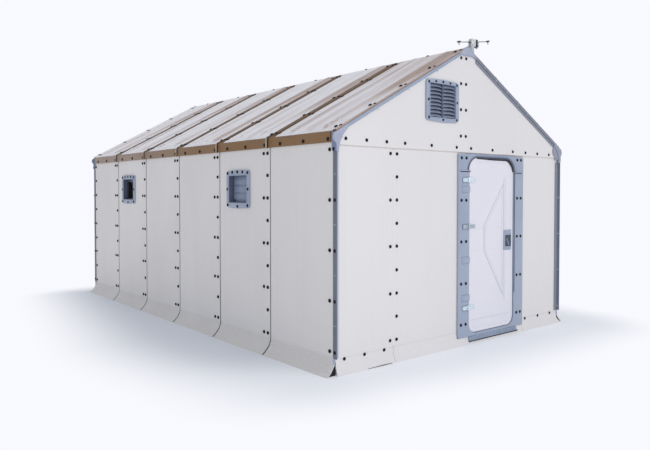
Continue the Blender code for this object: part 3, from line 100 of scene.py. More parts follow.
class Value:
    """A shader socket to reckon with: each operation adds a node to the socket's tree."""

    def __init__(self, socket):
        self.socket = socket

    def __add__(self, other):
        return maths("ADD", self, other)

    def __sub__(self, other):
        return maths("SUBTRACT", self, other)

    def __rsub__(self, other):
        return maths("SUBTRACT", other, self)

    def __mul__(self, other):
        return maths("MULTIPLY", self, other)

    def __pow__(self, other):
        return maths("POWER", self, other)

    def __abs__(self):
        return maths("ABSOLUTE", self)


def feed(socket, value):
    if isinstance(value, Value):
        socket.id_data.links.new(value.socket, socket)
    else:
        socket.default_value = value


def add(tree, kind, inputs=None, output=0, **settings):
    """An output of a new shader node, whose inputs are numbers, colours or Values."""
    made = tree.nodes.new("ShaderNode" + kind)
    for name, value in settings.items():
        setattr(made, name, value)
    for name, value in (inputs or {}).items():
        feed(made.inputs[name], value)
    return Value(made.outputs[output])


def maths(operation, first, second=0.0):
    tree = (first if isinstance(first, Value) else second).socket.id_data
    return add(tree, "Math", {0: first, 1: second}, operation=operation)


def above(value, level):
    """How far a value lies above a level, and 0 below it."""
    return maths("MAXIMUM", value - level, 0.0)


def spread(value, low, high, to_low=0.0, to_high=1.0):
    inputs = {"Value": value, "From Min": low, "From Max": high, "To Min": to_low, "To Max": to_high}
    return add(value.socket.id_data, "MapRange", inputs, interpolation_type="SMOOTHSTEP")


def split(vector):
    node = add(vector.socket.id_data, "SeparateXYZ", {0: vector}).socket.node
    return [Value(socket) for socket in node.outputs]


def waves(value, length):
    return maths("SINE", value * (2 * math.pi / length))


def rgba(colour):
    return colour if isinstance(colour, Value) else (*colour, 1.0)


def toned(colour, share, plus=0.0):
    return tuple(min(1.0, share * c + plus) for c in colour)


class Finish:
    """A Principled material whose colour, roughness and relief are built up in layers."""

    def __init__(self, name, colour, rough, **sockets):
        self.made = bpy.data.materials.new(name)
        self.made.use_nodes = True
        self.tree = self.made.node_tree
        self.inputs = self.tree.nodes["Principled BSDF"].inputs
        for socket, value in sockets.items():
            self.inputs[socket.replace("_", " ")].default_value = value
        self.place = add(self.tree, "TexCoord", output="Object")
        self.colour, self.rough, self.height = colour, rough, None

    def mottled(self, scale, stretch=(1, 1, 1), detail=4.0, place=None):
        moved = add(self.tree, "Mapping", {"Vector": place or self.place, "Scale": stretch})
        return add(self.tree, "TexNoise", {"Vector": moved, "Scale": scale, "Detail": detail})

    def attribute(self, name):
        return add(self.tree, "Attribute", output="Vector", attribute_name=name)

    def tint(self, colour, share, *ends):
        """Blend another colour in by a share, or by a value spread between ends."""
        share = spread(share, *ends) if ends else share
        inputs = {0: share, 6: rgba(self.colour), 7: rgba(colour)}
        self.colour = add(self.tree, "Mix", inputs, 2, data_type="RGBA", clamp_factor=True)

    def relief(self, height, strength):
        """Add a height, times its strength in metres, to the surface relief."""
        scaled = height * strength
        self.height = self.height + scaled if self.height else scaled

    def done(self):
        bump = add(self.tree, "Bump", {"Height": self.height, "Distance": 1.0, "Strength": 1.0})
        for name, value in (("Base Color", rgba(self.colour)), ("Roughness", self.rough), ("Normal", bump)):
            feed(self.inputs[name], value)
        return self.made


def foam_finish(name, colour, dust_and_shade, ribbed=False, border=1.0, shine=0.35, matt=0.6, far_sheen=0.0):
    """Foam sheet: a matt skin with faint upright streaks, a pressed border whose groove is darkened as painted
    shade, and a foot darkened by dust; ribbed sheets get painted shade in their troughs, and the last argument
    paints a lighter sheen towards +Y.
    """
    f = Finish(name, colour, matt, Specular_IOR_Level=shine)
    _, along, height = split(f.place)
    cloudy = f.mottled(1.1, (1, 1, 0.5), 5.0)
    streaks = f.mottled(22.0, (1, 1, 0.02), 3.0)
    f.tint(dust_and_shade, cloudy, 0.35, 0.75, 0.0, 0.5)
    f.tint(toned(dust_and_shade, 0.93), streaks, 0.45, 0.75, 0.0, 0.2 * border)
    # Painted sheen: lighter towards +Y, where the far sheets are seen at a grazing angle
    if far_sheen:
        f.tint((0.5, 0.455, 0.45), along, -1.2, 2.8, 0.0, far_sheen)
    f.tint(toned(dust_and_shade, 0.92), height, 0.0, 0.16, 0.06, 0.0)
    f.rough = spread(cloudy, 0.3, 0.8, matt - 0.08, matt + 0.1)
    f.relief(streaks, 0.0009 * border)
    f.relief(f.mottled(320.0, detail=2.0), 0.00025)
    flat, half = split(f.attribute("flat")), split(f.attribute("half"))
    across, up = (abs(flat[k]) - half[k] for k in (0, 1))
    outside = maths("SQRT", above(across, 0.0) ** 2.0 + above(up, 0.0) ** 2.0)
    away = outside + maths("MINIMUM", maths("MAXIMUM", across, up), 0.0)
    ring = abs(away - half[2])
    f.relief(spread(ring, 0.0, 0.016, -1.0, 0.0), 0.0009 * border)
    # Painted shade: the pressed border's groove is darkened
    f.tint(toned(dust_and_shade, 0.78), ring, 0.0, 0.014, 0.1 * border, 0.0)
    if ribbed:
        wave = waves(height, 0.0125)
        low = spread(height, 0.135, 0.16, 1.0, 0.0)
        f.relief(wave * low, 0.0011)
        # Painted shade: the troughs between the skirt's ribs are darkened
        f.tint(toned(dust_and_shade, 0.75), spread(wave, -1.0, 0.2, 0.12, 0.0) * low)
    return f.done()


def moulded_finish(name, colour, dark, rough=0.42, grain=420.0, shaded=None):
    """Moulded plastic: a fine grain, slow colour drift and scuffs; shaded is a colour of painted shade for its
    pressed lines.
    """
    f = Finish(name, colour, rough, Specular_IOR_Level=0.45)
    slow = f.mottled(3.0)
    scuffs = f.mottled(60.0, (1, 1, 0.12), 6.0)
    f.tint(dark, slow, 0.35, 0.75, 0.0, 0.6)
    f.tint(toned(colour, 1.3, 0.06), scuffs, 0.62, 0.76, 0.0, 0.25)
    if shaded:
        f.tint(shaded, split(f.attribute("half"))[2], 0.0, 1.0)
    f.rough = spread(scuffs, 0.4, 0.75, rough - 0.07, rough + 0.14)
    f.relief(f.mottled(grain, detail=2.0), 0.00022)
    f.relief(slow, 0.0006)
    return f.done()


def metal_finish(name, colour, dark, rough=0.34, metallic=0.85):
    """Zinc-plated steel: spangles, dull patches and a brushed direction."""
    f = Finish(name, colour, rough, Metallic=metallic)
    cells = add(f.tree, "TexVoronoi", {"Vector": f.place, "Scale": 130.0}, "Color")
    patches = f.mottled(14.0, detail=5.0)
    f.tint(dark, split(cells)[0] * 0.35)
    f.tint(dark, patches, 0.45, 0.75, 0.0, 0.5)
    f.rough = spread(patches, 0.35, 0.75, rough - 0.06, rough + 0.2)
    f.relief(f.mottled(240.0, (1, 1, 0.04), 2.0), 0.00012)
    return f.done()


def rubber_finish(name, colour):
    """Black rubber or nylon with a little dust."""
    f = Finish(name, colour, 0.6, Specular_IOR_Level=0.18)
    dust = f.mottled(70.0)
    f.tint(toned(colour, 2.0, 0.006), dust, 0.5, 0.8, 0.0, 0.35)
    f.rough = spread(dust, 0.3, 0.8, 0.5, 0.75)
    f.relief(f.mottled(500.0), 0.00015)
    return f.done()


def cloth_finish():
    """Coated cover fabric: weave, creases, painted brown shade along its folds, and a stitched hem."""
    f = Finish("cover_cloth", (0.905, 0.88, 0.93), 0.6, Sheen_Weight=0.15, Sheen_Roughness=0.5)
    flat, half = split(f.attribute("flat")), split(f.attribute("half"))
    creases = f.mottled(9.0, (1, 1.6, 1), 7.0)
    thin = f.mottled(26.0, (1.0, 0.12, 1.0), 4.0, f.attribute("flat"))
    # Painted shade: brown in the folds, by the share that the cover's marks give
    f.tint((0.43, 0.315, 0.27), half[2], 0.12, 1.0)
    f.tint((0.68, 0.6, 0.58), f.mottled(2.2, detail=5.0), 0.45, 0.8, 0.0, 0.28)
    f.tint((0.53, 0.43, 0.39), thin, 0.55, 0.82, 0.0, 0.26)
    edge = maths("MINIMUM", *(half[k] - abs(flat[k]) for k in (0, 1)))
    hem = 0.024
    line = spread(abs(edge - hem), 0.0, 0.0022, 1.0, 0.0)
    dashes = spread(waves(flat[0] + flat[1], 0.012), -0.3, 0.3)
    f.tint((0.3, 0.25, 0.2), line * (dashes * 0.7))
    f.relief(waves(flat[0], 0.0035) * waves(flat[1], 0.0035), 0.00018)
    f.relief(creases, 0.006)
    f.relief(thin, 0.003)
    f.relief(spread(edge, hem, hem + 0.003, 1.0, 0.0), 0.0008)
    f.relief(line, -0.0009)
    f.rough = spread(creases, 0.3, 0.8, 0.5, 0.72)
    return f.done()


# Finishes: the second colour of each is the tone that clouds and scuffs it; on the foam it also darkens pressed
# grooves and rib troughs as painted shade
FOAM = foam_finish("foam_side", (0.745, 0.725, 0.725), (0.665, 0.645, 0.64), True, 0.55)
FOAM_END = foam_finish("foam_end", (0.735, 0.718, 0.73), (0.69, 0.672, 0.68), border=0.25)
FOAM_TAPE = foam_finish("foam_tape", (0.755, 0.738, 0.75), (0.72, 0.703, 0.712), border=0.0)
# Painted shade: a darker foam for the crease along each skirt's fold
FOAM_SHADE = foam_finish("foam_crease_shade", (0.62, 0.6, 0.6), (0.56, 0.54, 0.54), border=0.25)
# Painted shade: a brownish foam for the shadow line under the gable laps
FOAM_LAP_SHADE = foam_finish("foam_lap_shade", (0.66, 0.61, 0.57), (0.58, 0.53, 0.49), border=0.25)
# The tan foams' last argument paints a sheen that lightens them towards +Y
TAN = foam_finish("foam_tan", (0.242, 0.138, 0.064), (0.2, 0.114, 0.053), False, 1.0, 0.22, 0.5, 0.42)
TAN_LIGHT = foam_finish("foam_tan_tab", (0.33, 0.215, 0.125), (0.27, 0.175, 0.1), False, 1.0, 0.3, 0.48, 0.42)
TAN_EDGE = foam_finish("foam_tan_edge", (0.62, 0.52, 0.43), (0.5, 0.41, 0.33))
CLOTH = cloth_finish()
BLUE = moulded_finish("blue_grey_moulding", (0.325, 0.38, 0.492), (0.275, 0.325, 0.435))
BLUE_DARK = moulded_finish("blue_grey_post", (0.15, 0.165, 0.22), (0.12, 0.135, 0.185), 0.5)
BLUE_PALE = moulded_finish("blue_grey_hub", (0.375, 0.405, 0.515), (0.315, 0.345, 0.455))
POST_PALE = moulded_finish("blue_grey_post_inside", (0.4, 0.425, 0.52), (0.34, 0.365, 0.455), 0.45)
# Painted shade: a dark copy of the blue-grey for recesses, gaps and shadow lines
RECESS_SHADE = moulded_finish("recess_shade_moulding", (0.075, 0.09, 0.135), (0.055, 0.066, 0.1), 0.5)
SHUTTER = moulded_finish("shutter_moulding", (0.215, 0.27, 0.385), (0.175, 0.225, 0.33), 0.38)
LOUVRE = moulded_finish("louvre_moulding", (0.17, 0.21, 0.32), (0.125, 0.16, 0.25), 0.36)
VANE = moulded_finish("vane_moulding", (0.215, 0.255, 0.37), (0.165, 0.2, 0.295), 0.36)
# Painted shade: a dark blue-grey for the shaded insides of the window openings
SLEEVE_SHADE = moulded_finish("sleeve_shade_moulding", (0.125, 0.145, 0.205), (0.095, 0.11, 0.16), 0.5)
# Painted shade: darker copies of the mouldings for the corners and rafter strips that face away from the light
PAINTED_SHADE_SIDE = moulded_finish("shaded_side_moulding", (0.215, 0.238, 0.3), (0.175, 0.195, 0.25), 0.46)
PAINTED_SHADE_HUB = moulded_finish("shaded_hub_moulding", (0.275, 0.298, 0.39), (0.23, 0.25, 0.33), 0.44)
# The door skin's last colour is painted shade along the leaf's pressed lines
DOOR = moulded_finish("door_skin", (0.735, 0.73, 0.8), (0.695, 0.69, 0.76), 0.36, 260.0, (0.53, 0.53, 0.615))
LEVER = moulded_finish("lever_moulding", (0.05, 0.06, 0.09), (0.03, 0.035, 0.05), 0.35)
RUBBER = rubber_finish("black_button", (0.005, 0.005, 0.006))
# Black rubber: the sill's gasket, and also the black strips and sheets that paint shade in gaps
GASKET_AND_SHADE = rubber_finish("black_gasket_and_shade", (0.015, 0.015, 0.018))
ZINC = metal_finish("zinc_steel", (0.5, 0.56, 0.62), (0.32, 0.37, 0.43))
CLAMP = metal_finish("clamp_zinc", (0.52, 0.54, 0.57), (0.34, 0.36, 0.39), 0.42, 0.35)
ARM = metal_finish("arm_steel", (0.16, 0.17, 0.19), (0.1, 0.11, 0.12), 0.45, 0.3)
BRIGHT = metal_finish("bright_zinc", (0.76, 0.87, 0.95), (0.48, 0.58, 0.66), 0.28, 0.7)


# Modelling helpers

def in_space(axis, along, a, b):
    place = [a, b]
    place.insert("XYZ".index(axis), along)
    return Vector(place)


def offset(outline, distance):
    """The outline grown by a distance, its corners mitred; negative draws it in."""
    points = [Vector(p) for p in outline]
    befores, afters = [points[-1], *points[:-1]], [*points[1:], points[0]]
    turn = sum(before.x * point.y - point.x * before.y for before, point in zip(befores, points))
    sign = 1.0 if turn > 0 else -1.0
    moved = []
    for before, point, after in zip(befores, points, afters):
        runs = (point - before).normalized(), (after - point).normalized()
        first, second = (Vector((run.y, -run.x)) * sign for run in runs)
        middle = first + second
        moved.append(tuple(point + middle * (distance * 2 / max(middle.length_squared, 0.5))))
    return moved


def fill(body, rings):
    """Close rings of vertices, the first outside the others, with triangles."""
    normal = Vector((0, 0, 0))
    ring = [v.co for v in rings[0]]
    for i in range(len(ring)):
        normal += ring[i - 1].cross(ring[i])
    drop = max(range(3), key=lambda k: abs(normal[k]))
    a, b = (k for k in range(3) if k != drop)
    flat = [[Vector((v.co[a], v.co[b], 0)) for v in ring] for ring in rings]
    corners = [v for ring in rings for v in ring]
    for triangle in tessellate_polygon(flat):
        body.faces.new([corners[i] for i in triangle])


def bridge(body, first, second):
    for i in range(len(first)):
        after = (i + 1) % len(first)
        body.faces.new((first[i], first[after], second[after], second[i]))


def slab(body, axis, back, front, outline, round_by=0.0, holes=()):
    """An outline less its holes, extruded from back to front with rounded front edges."""
    step = 1 if front > back else -1
    levels = ((0.0, 1.0), (0.3, 0.3), (1.0, 0.0)) if round_by else ((0.0, 0.0),)
    fronts, backs = [], []
    for grow, loop in ((-1, outline), *((1, hole[::-1]) for hole in holes)):
        rings = [[body.verts.new(in_space(axis, back, a, b)) for a, b in loop]]
        for inwards, down in levels:
            drawn = offset(loop, grow * inwards * round_by) if round_by else loop
            along = front - step * round_by * down
            rings.append([body.verts.new(in_space(axis, along, a, b)) for a, b in drawn])
        for first, second in zip(rings, rings[1:]):
            bridge(body, first, second)
        fronts.append(rings[-1])
        backs.append(rings[0])
    fill(body, fronts)
    fill(body, backs)


def arc(centre, radius, start, end, steps):
    turns = [math.radians(start + (end - start) * k / steps) for k in range(steps + 1)]
    return [(centre[0] + radius * math.cos(turn), centre[1] + radius * math.sin(turn)) for turn in turns]


def rectangle(left, low, right, high):
    return [(left, low), (right, low), (right, high), (left, high)]


def rounded(left, low, right, high, radius, top_radius=None, steps=6):
    top = top_radius or radius
    return (arc((left + radius, low + radius), radius, 180, 270, steps)
            + arc((right - radius, low + radius), radius, 270, 360, steps)
            + arc((right - top, high - top), top, 0, 90, steps)
            + arc((left + top, high - top), top, 90, 180, steps))


def bowed(left, low, right, high, bow, radius, steps=12):
    """A rounded rectangle whose top and bottom edges bow outwards."""
    corners = rounded(left, low, right, high, radius)
    first = len(corners) // 4
    between = [left + radius + (right - left - 2 * radius) * (k / steps) for k in range(1, steps)]
    line = (corners[:first] + [(x, low) for x in between] + corners[first:3 * first]
            + [(x, high) for x in reversed(between)] + corners[3 * first:])
    middle, half = (low + high) / 2, (high - low) / 2
    return [(x, z + bow * math.sin(math.pi * (x - left) / (right - left)) * (1 if z > middle else -1)
             * smooth(abs(z - middle) / half, 0.5, 1.0)) for x, z in line]


def curve(first, middle, last, steps):
    """Points of a bend from first to last, drawn towards middle."""
    return [tuple(first[i] * (1 - t) ** 2 + 2 * middle[i] * t * (1 - t) + last[i] * t * t for i in (0, 1))
            for t in (k / steps for k in range(steps + 1))]


def flipped(outline, side, end=1):
    return [(side * a, end * b) for a, b in outline]


def circle(body, middle, ahead, helper, radius, sides):
    """A ring of vertices round a point, square to a direction."""
    across = ahead.cross(Vector(helper)).normalized()
    up = ahead.cross(across)
    turns = [2 * math.pi * k / sides for k in range(sides)]
    return [body.verts.new(middle + (across * math.cos(turn) + up * math.sin(turn)) * radius)
            for turn in turns]


def lathe(body, place, normal, profile, sides=16):
    """A turned shape: profile gives radius and height along the normal, and may end in a tip of radius 0."""
    place, normal = Vector(place), Vector(normal).normalized()
    helper = (0, 0, 1) if abs(normal.z) < 0.9 else (1, 0, 0)
    rings = [circle(body, place + normal * height, normal, helper, radius, sides)
             for radius, height in profile if radius]
    body.faces.new(rings[0][::-1])
    for first, second in zip(rings, rings[1:]):
        bridge(body, first, second)
    if profile[-1][0]:
        body.faces.new(rings[-1])
        return
    tip = body.verts.new(place + normal * profile[-1][1])
    for k in range(sides):
        body.faces.new((rings[-1][k], rings[-1][(k + 1) % sides], tip))


def sweep(body, path, radius, sides):
    """A round bar along a path of points."""
    rings = []
    for before, place, after in zip([path[0], *path], path, [*path[1:], path[-1]]):
        ahead = (after - before).normalized()
        helper = (0, 1, 0) if abs(ahead.y) < 0.9 else (0, 0, 1)
        rings.append(circle(body, place, ahead, helper, radius, sides))
    for first, second in zip(rings, rings[1:]):
        bridge(body, first, second)
    body.faces.new(rings[0][::-1])
    body.faces.new(rings[-1])


def new_body():
    body = bmesh.new()
    for name in ("flat", "half"):
        body.verts.layers.float_vector.new(name)
    return body


def mark_layers(body):
    """Per vertex: its place on the sheet, and the sheet's half size with a third value to shade by."""
    layers = body.verts.layers.float_vector
    return layers["flat"], layers["half"]


def piece(name, body, finish, rides="root", replaces=(), angle=32.0):
    """Finish a drawn body as an object of the scene that rides on a body of the model."""
    bmesh.ops.recalc_face_normals(body, faces=body.faces)
    mesh = bpy.data.meshes.new(name)
    body.to_mesh(mesh)
    body.free()
    mesh.materials.append(finish)
    mesh.shade_smooth()
    mesh.set_sharp_from_angle(angle=math.radians(angle))
    made = bpy.data.objects.new(name, mesh)
    bpy.context.scene.collection.objects.link(made)
    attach(made, rides)
    if replaces:
        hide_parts(*replaces)
    return made


def join(body, extra):
    """Add the faces of one body to another, and free it."""
    mesh = bpy.data.meshes.new("extra")
    extra.to_mesh(mesh)
    extra.free()
    body.from_mesh(mesh)
    bpy.data.meshes.remove(mesh)


def planes_along(index, places):
    """Planes square to X, Y or Z, each a point and a normal."""
    normal = Vector([float(k == index) for k in range(3)])
    return [(normal * place, normal) for place in places]


def cut(body, planes):
    for where, normal in planes:
        everything = body.verts[:] + body.edges[:] + body.faces[:]
        bmesh.ops.bisect_plane(body, geom=everything, dist=1e-5, plane_co=where, plane_no=normal)


def pressed_sheet(body, axis, inner, outer, outline, cuts, shape, round_by=0.0, holes=(), marks=None):
    """A plate cut at places along its two directions, each point then moved by shape(a, b, depth)."""
    plate = new_body()
    slab(plate, axis, inner, outer, outline, round_by, holes)
    main = "XYZ".index(axis)
    other = [k for k in range(3) if k != main]
    for index, places in zip(other, cuts):
        cut(plate, planes_along(index, places))
    flat, half = mark_layers(plate)
    for vert in plate.verts:
        a, b = (vert.co[k] for k in other)
        if marks:
            vert[flat], vert[half] = marks(a, b)
        vert.co = shape(a, b, vert.co[main])
    join(body, plate)


def net(body, columns, rows, place, skip=None, marks=None):
    """A sheet of quads with an outer and an inner skin, closed round its edges and openings.

    place(a, b, inner) gives each point, skip(a, b) leaves out a cell by its middle.
    """
    flat, half = mark_layers(body)
    made = {}

    def corner(i, j, inner):
        key = (i, j, inner)
        if key not in made:
            made[key] = body.verts.new(place(columns[i], rows[j], inner))
            if marks:
                made[key][flat], made[key][half] = marks(columns[i], rows[j])
        return made[key]

    cells = []
    for i in range(len(columns) - 1):
        for j in range(len(rows) - 1):
            middle = ((columns[i] + columns[i + 1]) / 2, (rows[j] + rows[j + 1]) / 2)
            if skip is None or not skip(*middle):
                cells.append((i, j))
    present = set(cells)
    for i, j in cells:
        ring = ((i, j), (i + 1, j), (i + 1, j + 1), (i, j + 1))
        body.faces.new([corner(a, b, False) for a, b in ring])
        body.faces.new([corner(a, b, True) for a, b in reversed(ring)])
        beside = ((i, j - 1), (i + 1, j), (i, j + 1), (i - 1, j))
        for k, other in enumerate(beside):
            if other not in present:
                first, second = ring[k], ring[(k + 1) % 4]
                body.faces.new((corner(*second, False), corner(*first, False),
                                corner(*first, True), corner(*second, True)))


def pressed(middle, half, radius):
    """Marks for a foam sheet's pressed border: a rounded rectangle about the sheet's middle."""
    def marks(a, b):
        return (a - middle[0], b - middle[1], 0.0), (half[0] - radius, half[1] - radius, radius)
    return marks


def stations(start, *spans):
    """Places along a line from start on: each span is (end, count)."""
    places = []
    for end, count in spans:
        places += [start + (end - start) * k / count for k in range(count)]
        start = end
    return places + [start]


def lined(places, edges, clear):
    """Places with edges set in, and those that lie too near an edge left out."""
    return sorted([p for p in places if all(abs(p - edge) > clear for edge in edges)] + list(edges))


BUTTON = ((0.0148, 0.0), (0.0148, 0.0026), (0.0126, 0.0052), (0.0076, 0.0072), (0.0, 0.0078))
TALL_BUTTON = ((0.0158, 0.0), (0.0158, 0.005), (0.013, 0.0084), (0.0076, 0.0104), (0.0, 0.011))
TINY_SCREW = ((0.004, 0.0), (0.004, 0.001), (0.0026, 0.0018), (0.0, 0.0019))
NUT = ((0.0075, 0.0), (0.008, 0.001), (0.008, 0.0042), (0.005, 0.005), (0.0, 0.0052))
SMALL_SCREW = ((0.0058, 0.0), (0.0058, 0.0012), (0.004, 0.0026), (0.0018, 0.003), (0.0015, 0.0022),
               (0.0, 0.0021))


def buttons(name, places, normal, profile=BUTTON):
    body = new_body()
    for place in places:
        lathe(body, place, normal, profile, 14)
    piece(name, body, RUBBER)


# Side walls: six sheets on each side, their skirts curving out to the ground

FLARE_HEIGHT = 0.147
FLARE_REACH = 0.09
SEAM_GAP = 0.003
WINDOW_BAYS = (1, 4)
WINDOW_HALF = (0.2125, 0.185)
WINDOW_Z = EAVE - 0.4515
WINDOW_HOLE = (0.1738, 0.1363)
NEAR_SEAM = 0.06


def window_y(bay):
    return seam_y(bay) + BAY / 2 + 0.087


def seam_wander(seam, z):
    return 0.0026 * wander(seam * 3.7, z * 5.5, 0.3)


def flare(z):
    """How far down its skirt a height lies, and how far out the side wall stands there."""
    drop = max(0.0, 1.0 - z / FLARE_HEIGHT)
    return drop, HALF_W + FLARE_REACH * drop ** 2.15


for side, side_name in SIDES:
    for bay in range(BAYS):
        start = seam_y(bay) + (SEAM_GAP / 2 if bay else 0.0)
        end = seam_y(bay + 1) - (SEAM_GAP / 2 if bay < BAYS - 1 else 0.0)
        middle = window_y(bay)

        def wall_point(y, z, inner):
            drop, out = flare(z)
            first, last = near_to(y, start, NEAR_SEAM), near_to(y, end, NEAR_SEAM)
            shift = first * seam_wander(bay, z) * (bay > 0)
            shift += last * seam_wander(bay + 1, z) * (bay < BAYS - 1)
            shift += 0.0055 * drop ** 1.3 * (first * (bay > 0) - last * (bay < BAYS - 1))
            shift += 0.01 * smooth(drop, 0.5, 1.0) * (last * (bay == BAYS - 1) - first * (bay == 0))
            if inner:
                out -= SHEET
            else:
                out -= 0.003 * max(first, last) ** 2 + 0.001 * (1 + wander(y * 3, z * 1.2, bay))
            return Vector((side * out, y + shift, z))

        def window_cell(y, z):
            return abs(y - middle) < WINDOW_HOLE[0] and abs(z - WINDOW_Z) < WINDOW_HOLE[1]

        columns = stations(start, (start + NEAR_SEAM, 4), (end - NEAR_SEAM, 14), (end, 4))
        rows = stations(0.0, (0.16, 14), (WALL_TOP, 24))
        has_window = bay in WINDOW_BAYS
        if has_window:
            columns = lined(columns, [middle - WINDOW_HOLE[0], middle + WINDOW_HOLE[0]], 0.012)
            rows = lined(rows, [WINDOW_Z - WINDOW_HOLE[1], WINDOW_Z + WINDOW_HOLE[1]], 0.012)
        body = new_body()
        marks = pressed(((start + end) / 2 + 0.012, 1.01), ((end - start) / 2 - 0.11, 0.8), 0.07)
        net(body, columns, rows, wall_point, window_cell if has_window else None, marks)
        name = f"{side_name}_panel_{bay + 1}"
        piece(f"sheet_{name}", body, FOAM, replaces=[name])

    # Black strips behind the seams paint the shade in their gaps
    body = new_body()
    for seam in range(1, BAYS):
        def strip_point(across, z, inner):
            drop, out = flare(z)
            y = seam_y(seam) + across * (0.0031 + 0.005 * drop ** 1.3) + seam_wander(seam, z)
            return Vector((side * (out - (0.0085 if inner else 0.0018)), y, z))

        net(body, (-1.0, 1.0), stations(0.002, (0.16, 14), (WALL_TOP - 0.002, 24)), strip_point)
    piece(f"seam_shade_strips_{side_name}", body, GASKET_AND_SHADE)


# End walls: sheets up to the gable seam, with small skirts

END_EDGE = 1.5877
DOOR_SHEET_LEFT, DOOR_SHEET_RIGHT = 0.0047, 0.8018
FLANGE_LEFT, FLANGE_RIGHT = -0.1203, 0.9203
END_SKIRT = 0.13
JAMB_FOOT = 0.07
FRONT_SEAM = -0.95
REAR_SEAM = 0.53

end_walls = (
    ("front_panel_left", -1, -END_EDGE, FRONT_SEAM - SEAM_GAP / 2),
    ("front_panel_middle", -1, FRONT_SEAM + SEAM_GAP / 2, DOOR_SHEET_LEFT),
    ("front_panel_right", -1, DOOR_SHEET_RIGHT, END_EDGE),
    ("rear_panel_left", 1, -END_EDGE, -REAR_SEAM - SEAM_GAP / 2),
    ("rear_panel_middle", 1, -REAR_SEAM + SEAM_GAP / 2, REAR_SEAM - SEAM_GAP / 2),
    ("rear_panel_right", 1, REAR_SEAM + SEAM_GAP / 2, END_EDGE),
)


def end_wander(x, z):
    return 0.0022 * wander(x * 1.3, z * 5.0, 4.2)


for name, end, left, right in end_walls:
    cut_left = name == "front_panel_right"
    cut_right = name == "front_panel_middle"

    def end_point(x, z, inner):
        drop = max(0.0, 1.0 - z / END_SKIRT)
        out = HALF_L + 0.03 * drop ** 2.3
        first, last = near_to(x, left, NEAR_SEAM), near_to(x, right, NEAR_SEAM)
        shift = first * (abs(left) < 1.5 and not cut_left) + last * (abs(right) < 1.5 and not cut_right)
        shift *= end_wander(left if first else right, z)
        corner = near_to(x, -END_EDGE, NEAR_SEAM) * (end > 0) - near_to(x, END_EDGE, NEAR_SEAM)
        shift -= corner * 0.04 * smooth(drop, 0.55, 1.0)
        if inner:
            out -= SHEET
        else:
            out -= 0.0018 * max(first, last) ** 2 + 0.0008 * (1 + wander(x * 2.4, z * 1.1, 8.0))
        return Vector((x + shift, end * out, z))

    def skirt_cell(x, z):
        return z < END_SKIRT and ((cut_right and x > FLANGE_LEFT and z > JAMB_FOOT)
                                  or (cut_left and x < FLANGE_RIGHT))

    columns = stations(left, (left + NEAR_SEAM, 3), (right - NEAR_SEAM, 12), (right, 3))
    if cut_left or cut_right:
        columns = lined(columns, [FLANGE_LEFT if cut_right else FLANGE_RIGHT], 0.008)
    rows = stations(0.0, (JAMB_FOOT, 7), (END_SKIRT, 6), (WALL_TOP, 22))
    body = new_body()
    marks = pressed(((left + right) / 2, 0.97), ((right - left) / 2 - 0.085, 0.78), 0.06)
    net(body, columns, rows, end_point, skirt_cell, marks)
    piece(f"sheet_{name}", body, FOAM_END, replaces=[name])

for end, end_name in ENDS:
    body = new_body()
    for seam in (FRONT_SEAM,) if end < 0 else (-REAR_SEAM, REAR_SEAM):
        def lap(across, z, inner):
            x = seam + 0.0075 * across + end_wander(seam, z)
            return Vector((x, end * (HALF_L - (0.0034 if inner else 0.0014)), z))

        net(body, (-1.0, 1.0), stations(END_SKIRT, (GABLE_SEAM - 0.004, 24)), lap)
    if end < 0:
        def gable_lap(across, z, inner):
            return Vector((GABLE_MIDDLE + 0.0055 * across, -(GABLE_FACE - (0.003 if inner else 0.001)), z))

        net(body, (-1.0, 1.0), stations(GABLE_SEAM + 0.004, (roof_z(0.05, 0.075), 6)), gable_lap)
    piece(f"seam_tapes_{end_name}", body, FOAM_TAPE)

    # A dark foam strip along each skirt's fold paints the shade in its crease
    body = new_body()
    left, right = -END_EDGE + 0.04, END_EDGE - 0.04
    for first, last in ((left, -0.122), (0.922, right)) if end < 0 else ((left, right),):
        def crease(x, b, inner):
            z = 0.131 + 0.0016 * b + 0.0015 * wander(x * 3, 0.0, end)
            return Vector((x, end * (HALF_L - (0.003 if inner else 0.0004)), z))

        net(body, stations(first, (last, 24)), (-1.0, 0.0, 1.0), crease)
    piece(f"skirt_crease_shades_{end_name}", body, FOAM_SHADE)


def foot_gap_shadow(x, b, inner):
    """A dark line that paints the shadow where the front skirt lifts off the floor."""
    return Vector((x, -2.786 if inner else -2.7897, 0.0036 + b * (0.001 + 0.002 * near_to(x, -1.1, 0.14))))


body = new_body()
net(body, stations(-1.27, (-0.99, 16)), (-1.0, 0.0, 1.0), foot_gap_shadow)
piece("foot_gap_front", body, GASKET_AND_SHADE)


# Gable sheets, lapped over the tops of the end walls

VENT_LOW_CORNER, VENT_HIGH_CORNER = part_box("vent_front")
VENT_HOLE = (VENT_LOW_CORNER[0] + 0.0437, VENT_LOW_CORNER[2] + 0.0357,
             VENT_HIGH_CORNER[0] - 0.0437, VENT_HIGH_CORNER[2] - 0.0357)
LAP_STEPS = (0.02, 0.05, 0.12, 0.22, 0.34, 0.46, 0.58, 0.7, 0.82)


def lap_wander(x):
    return 0.0035 * wander(x * 4.5, 0.0, 7.7)


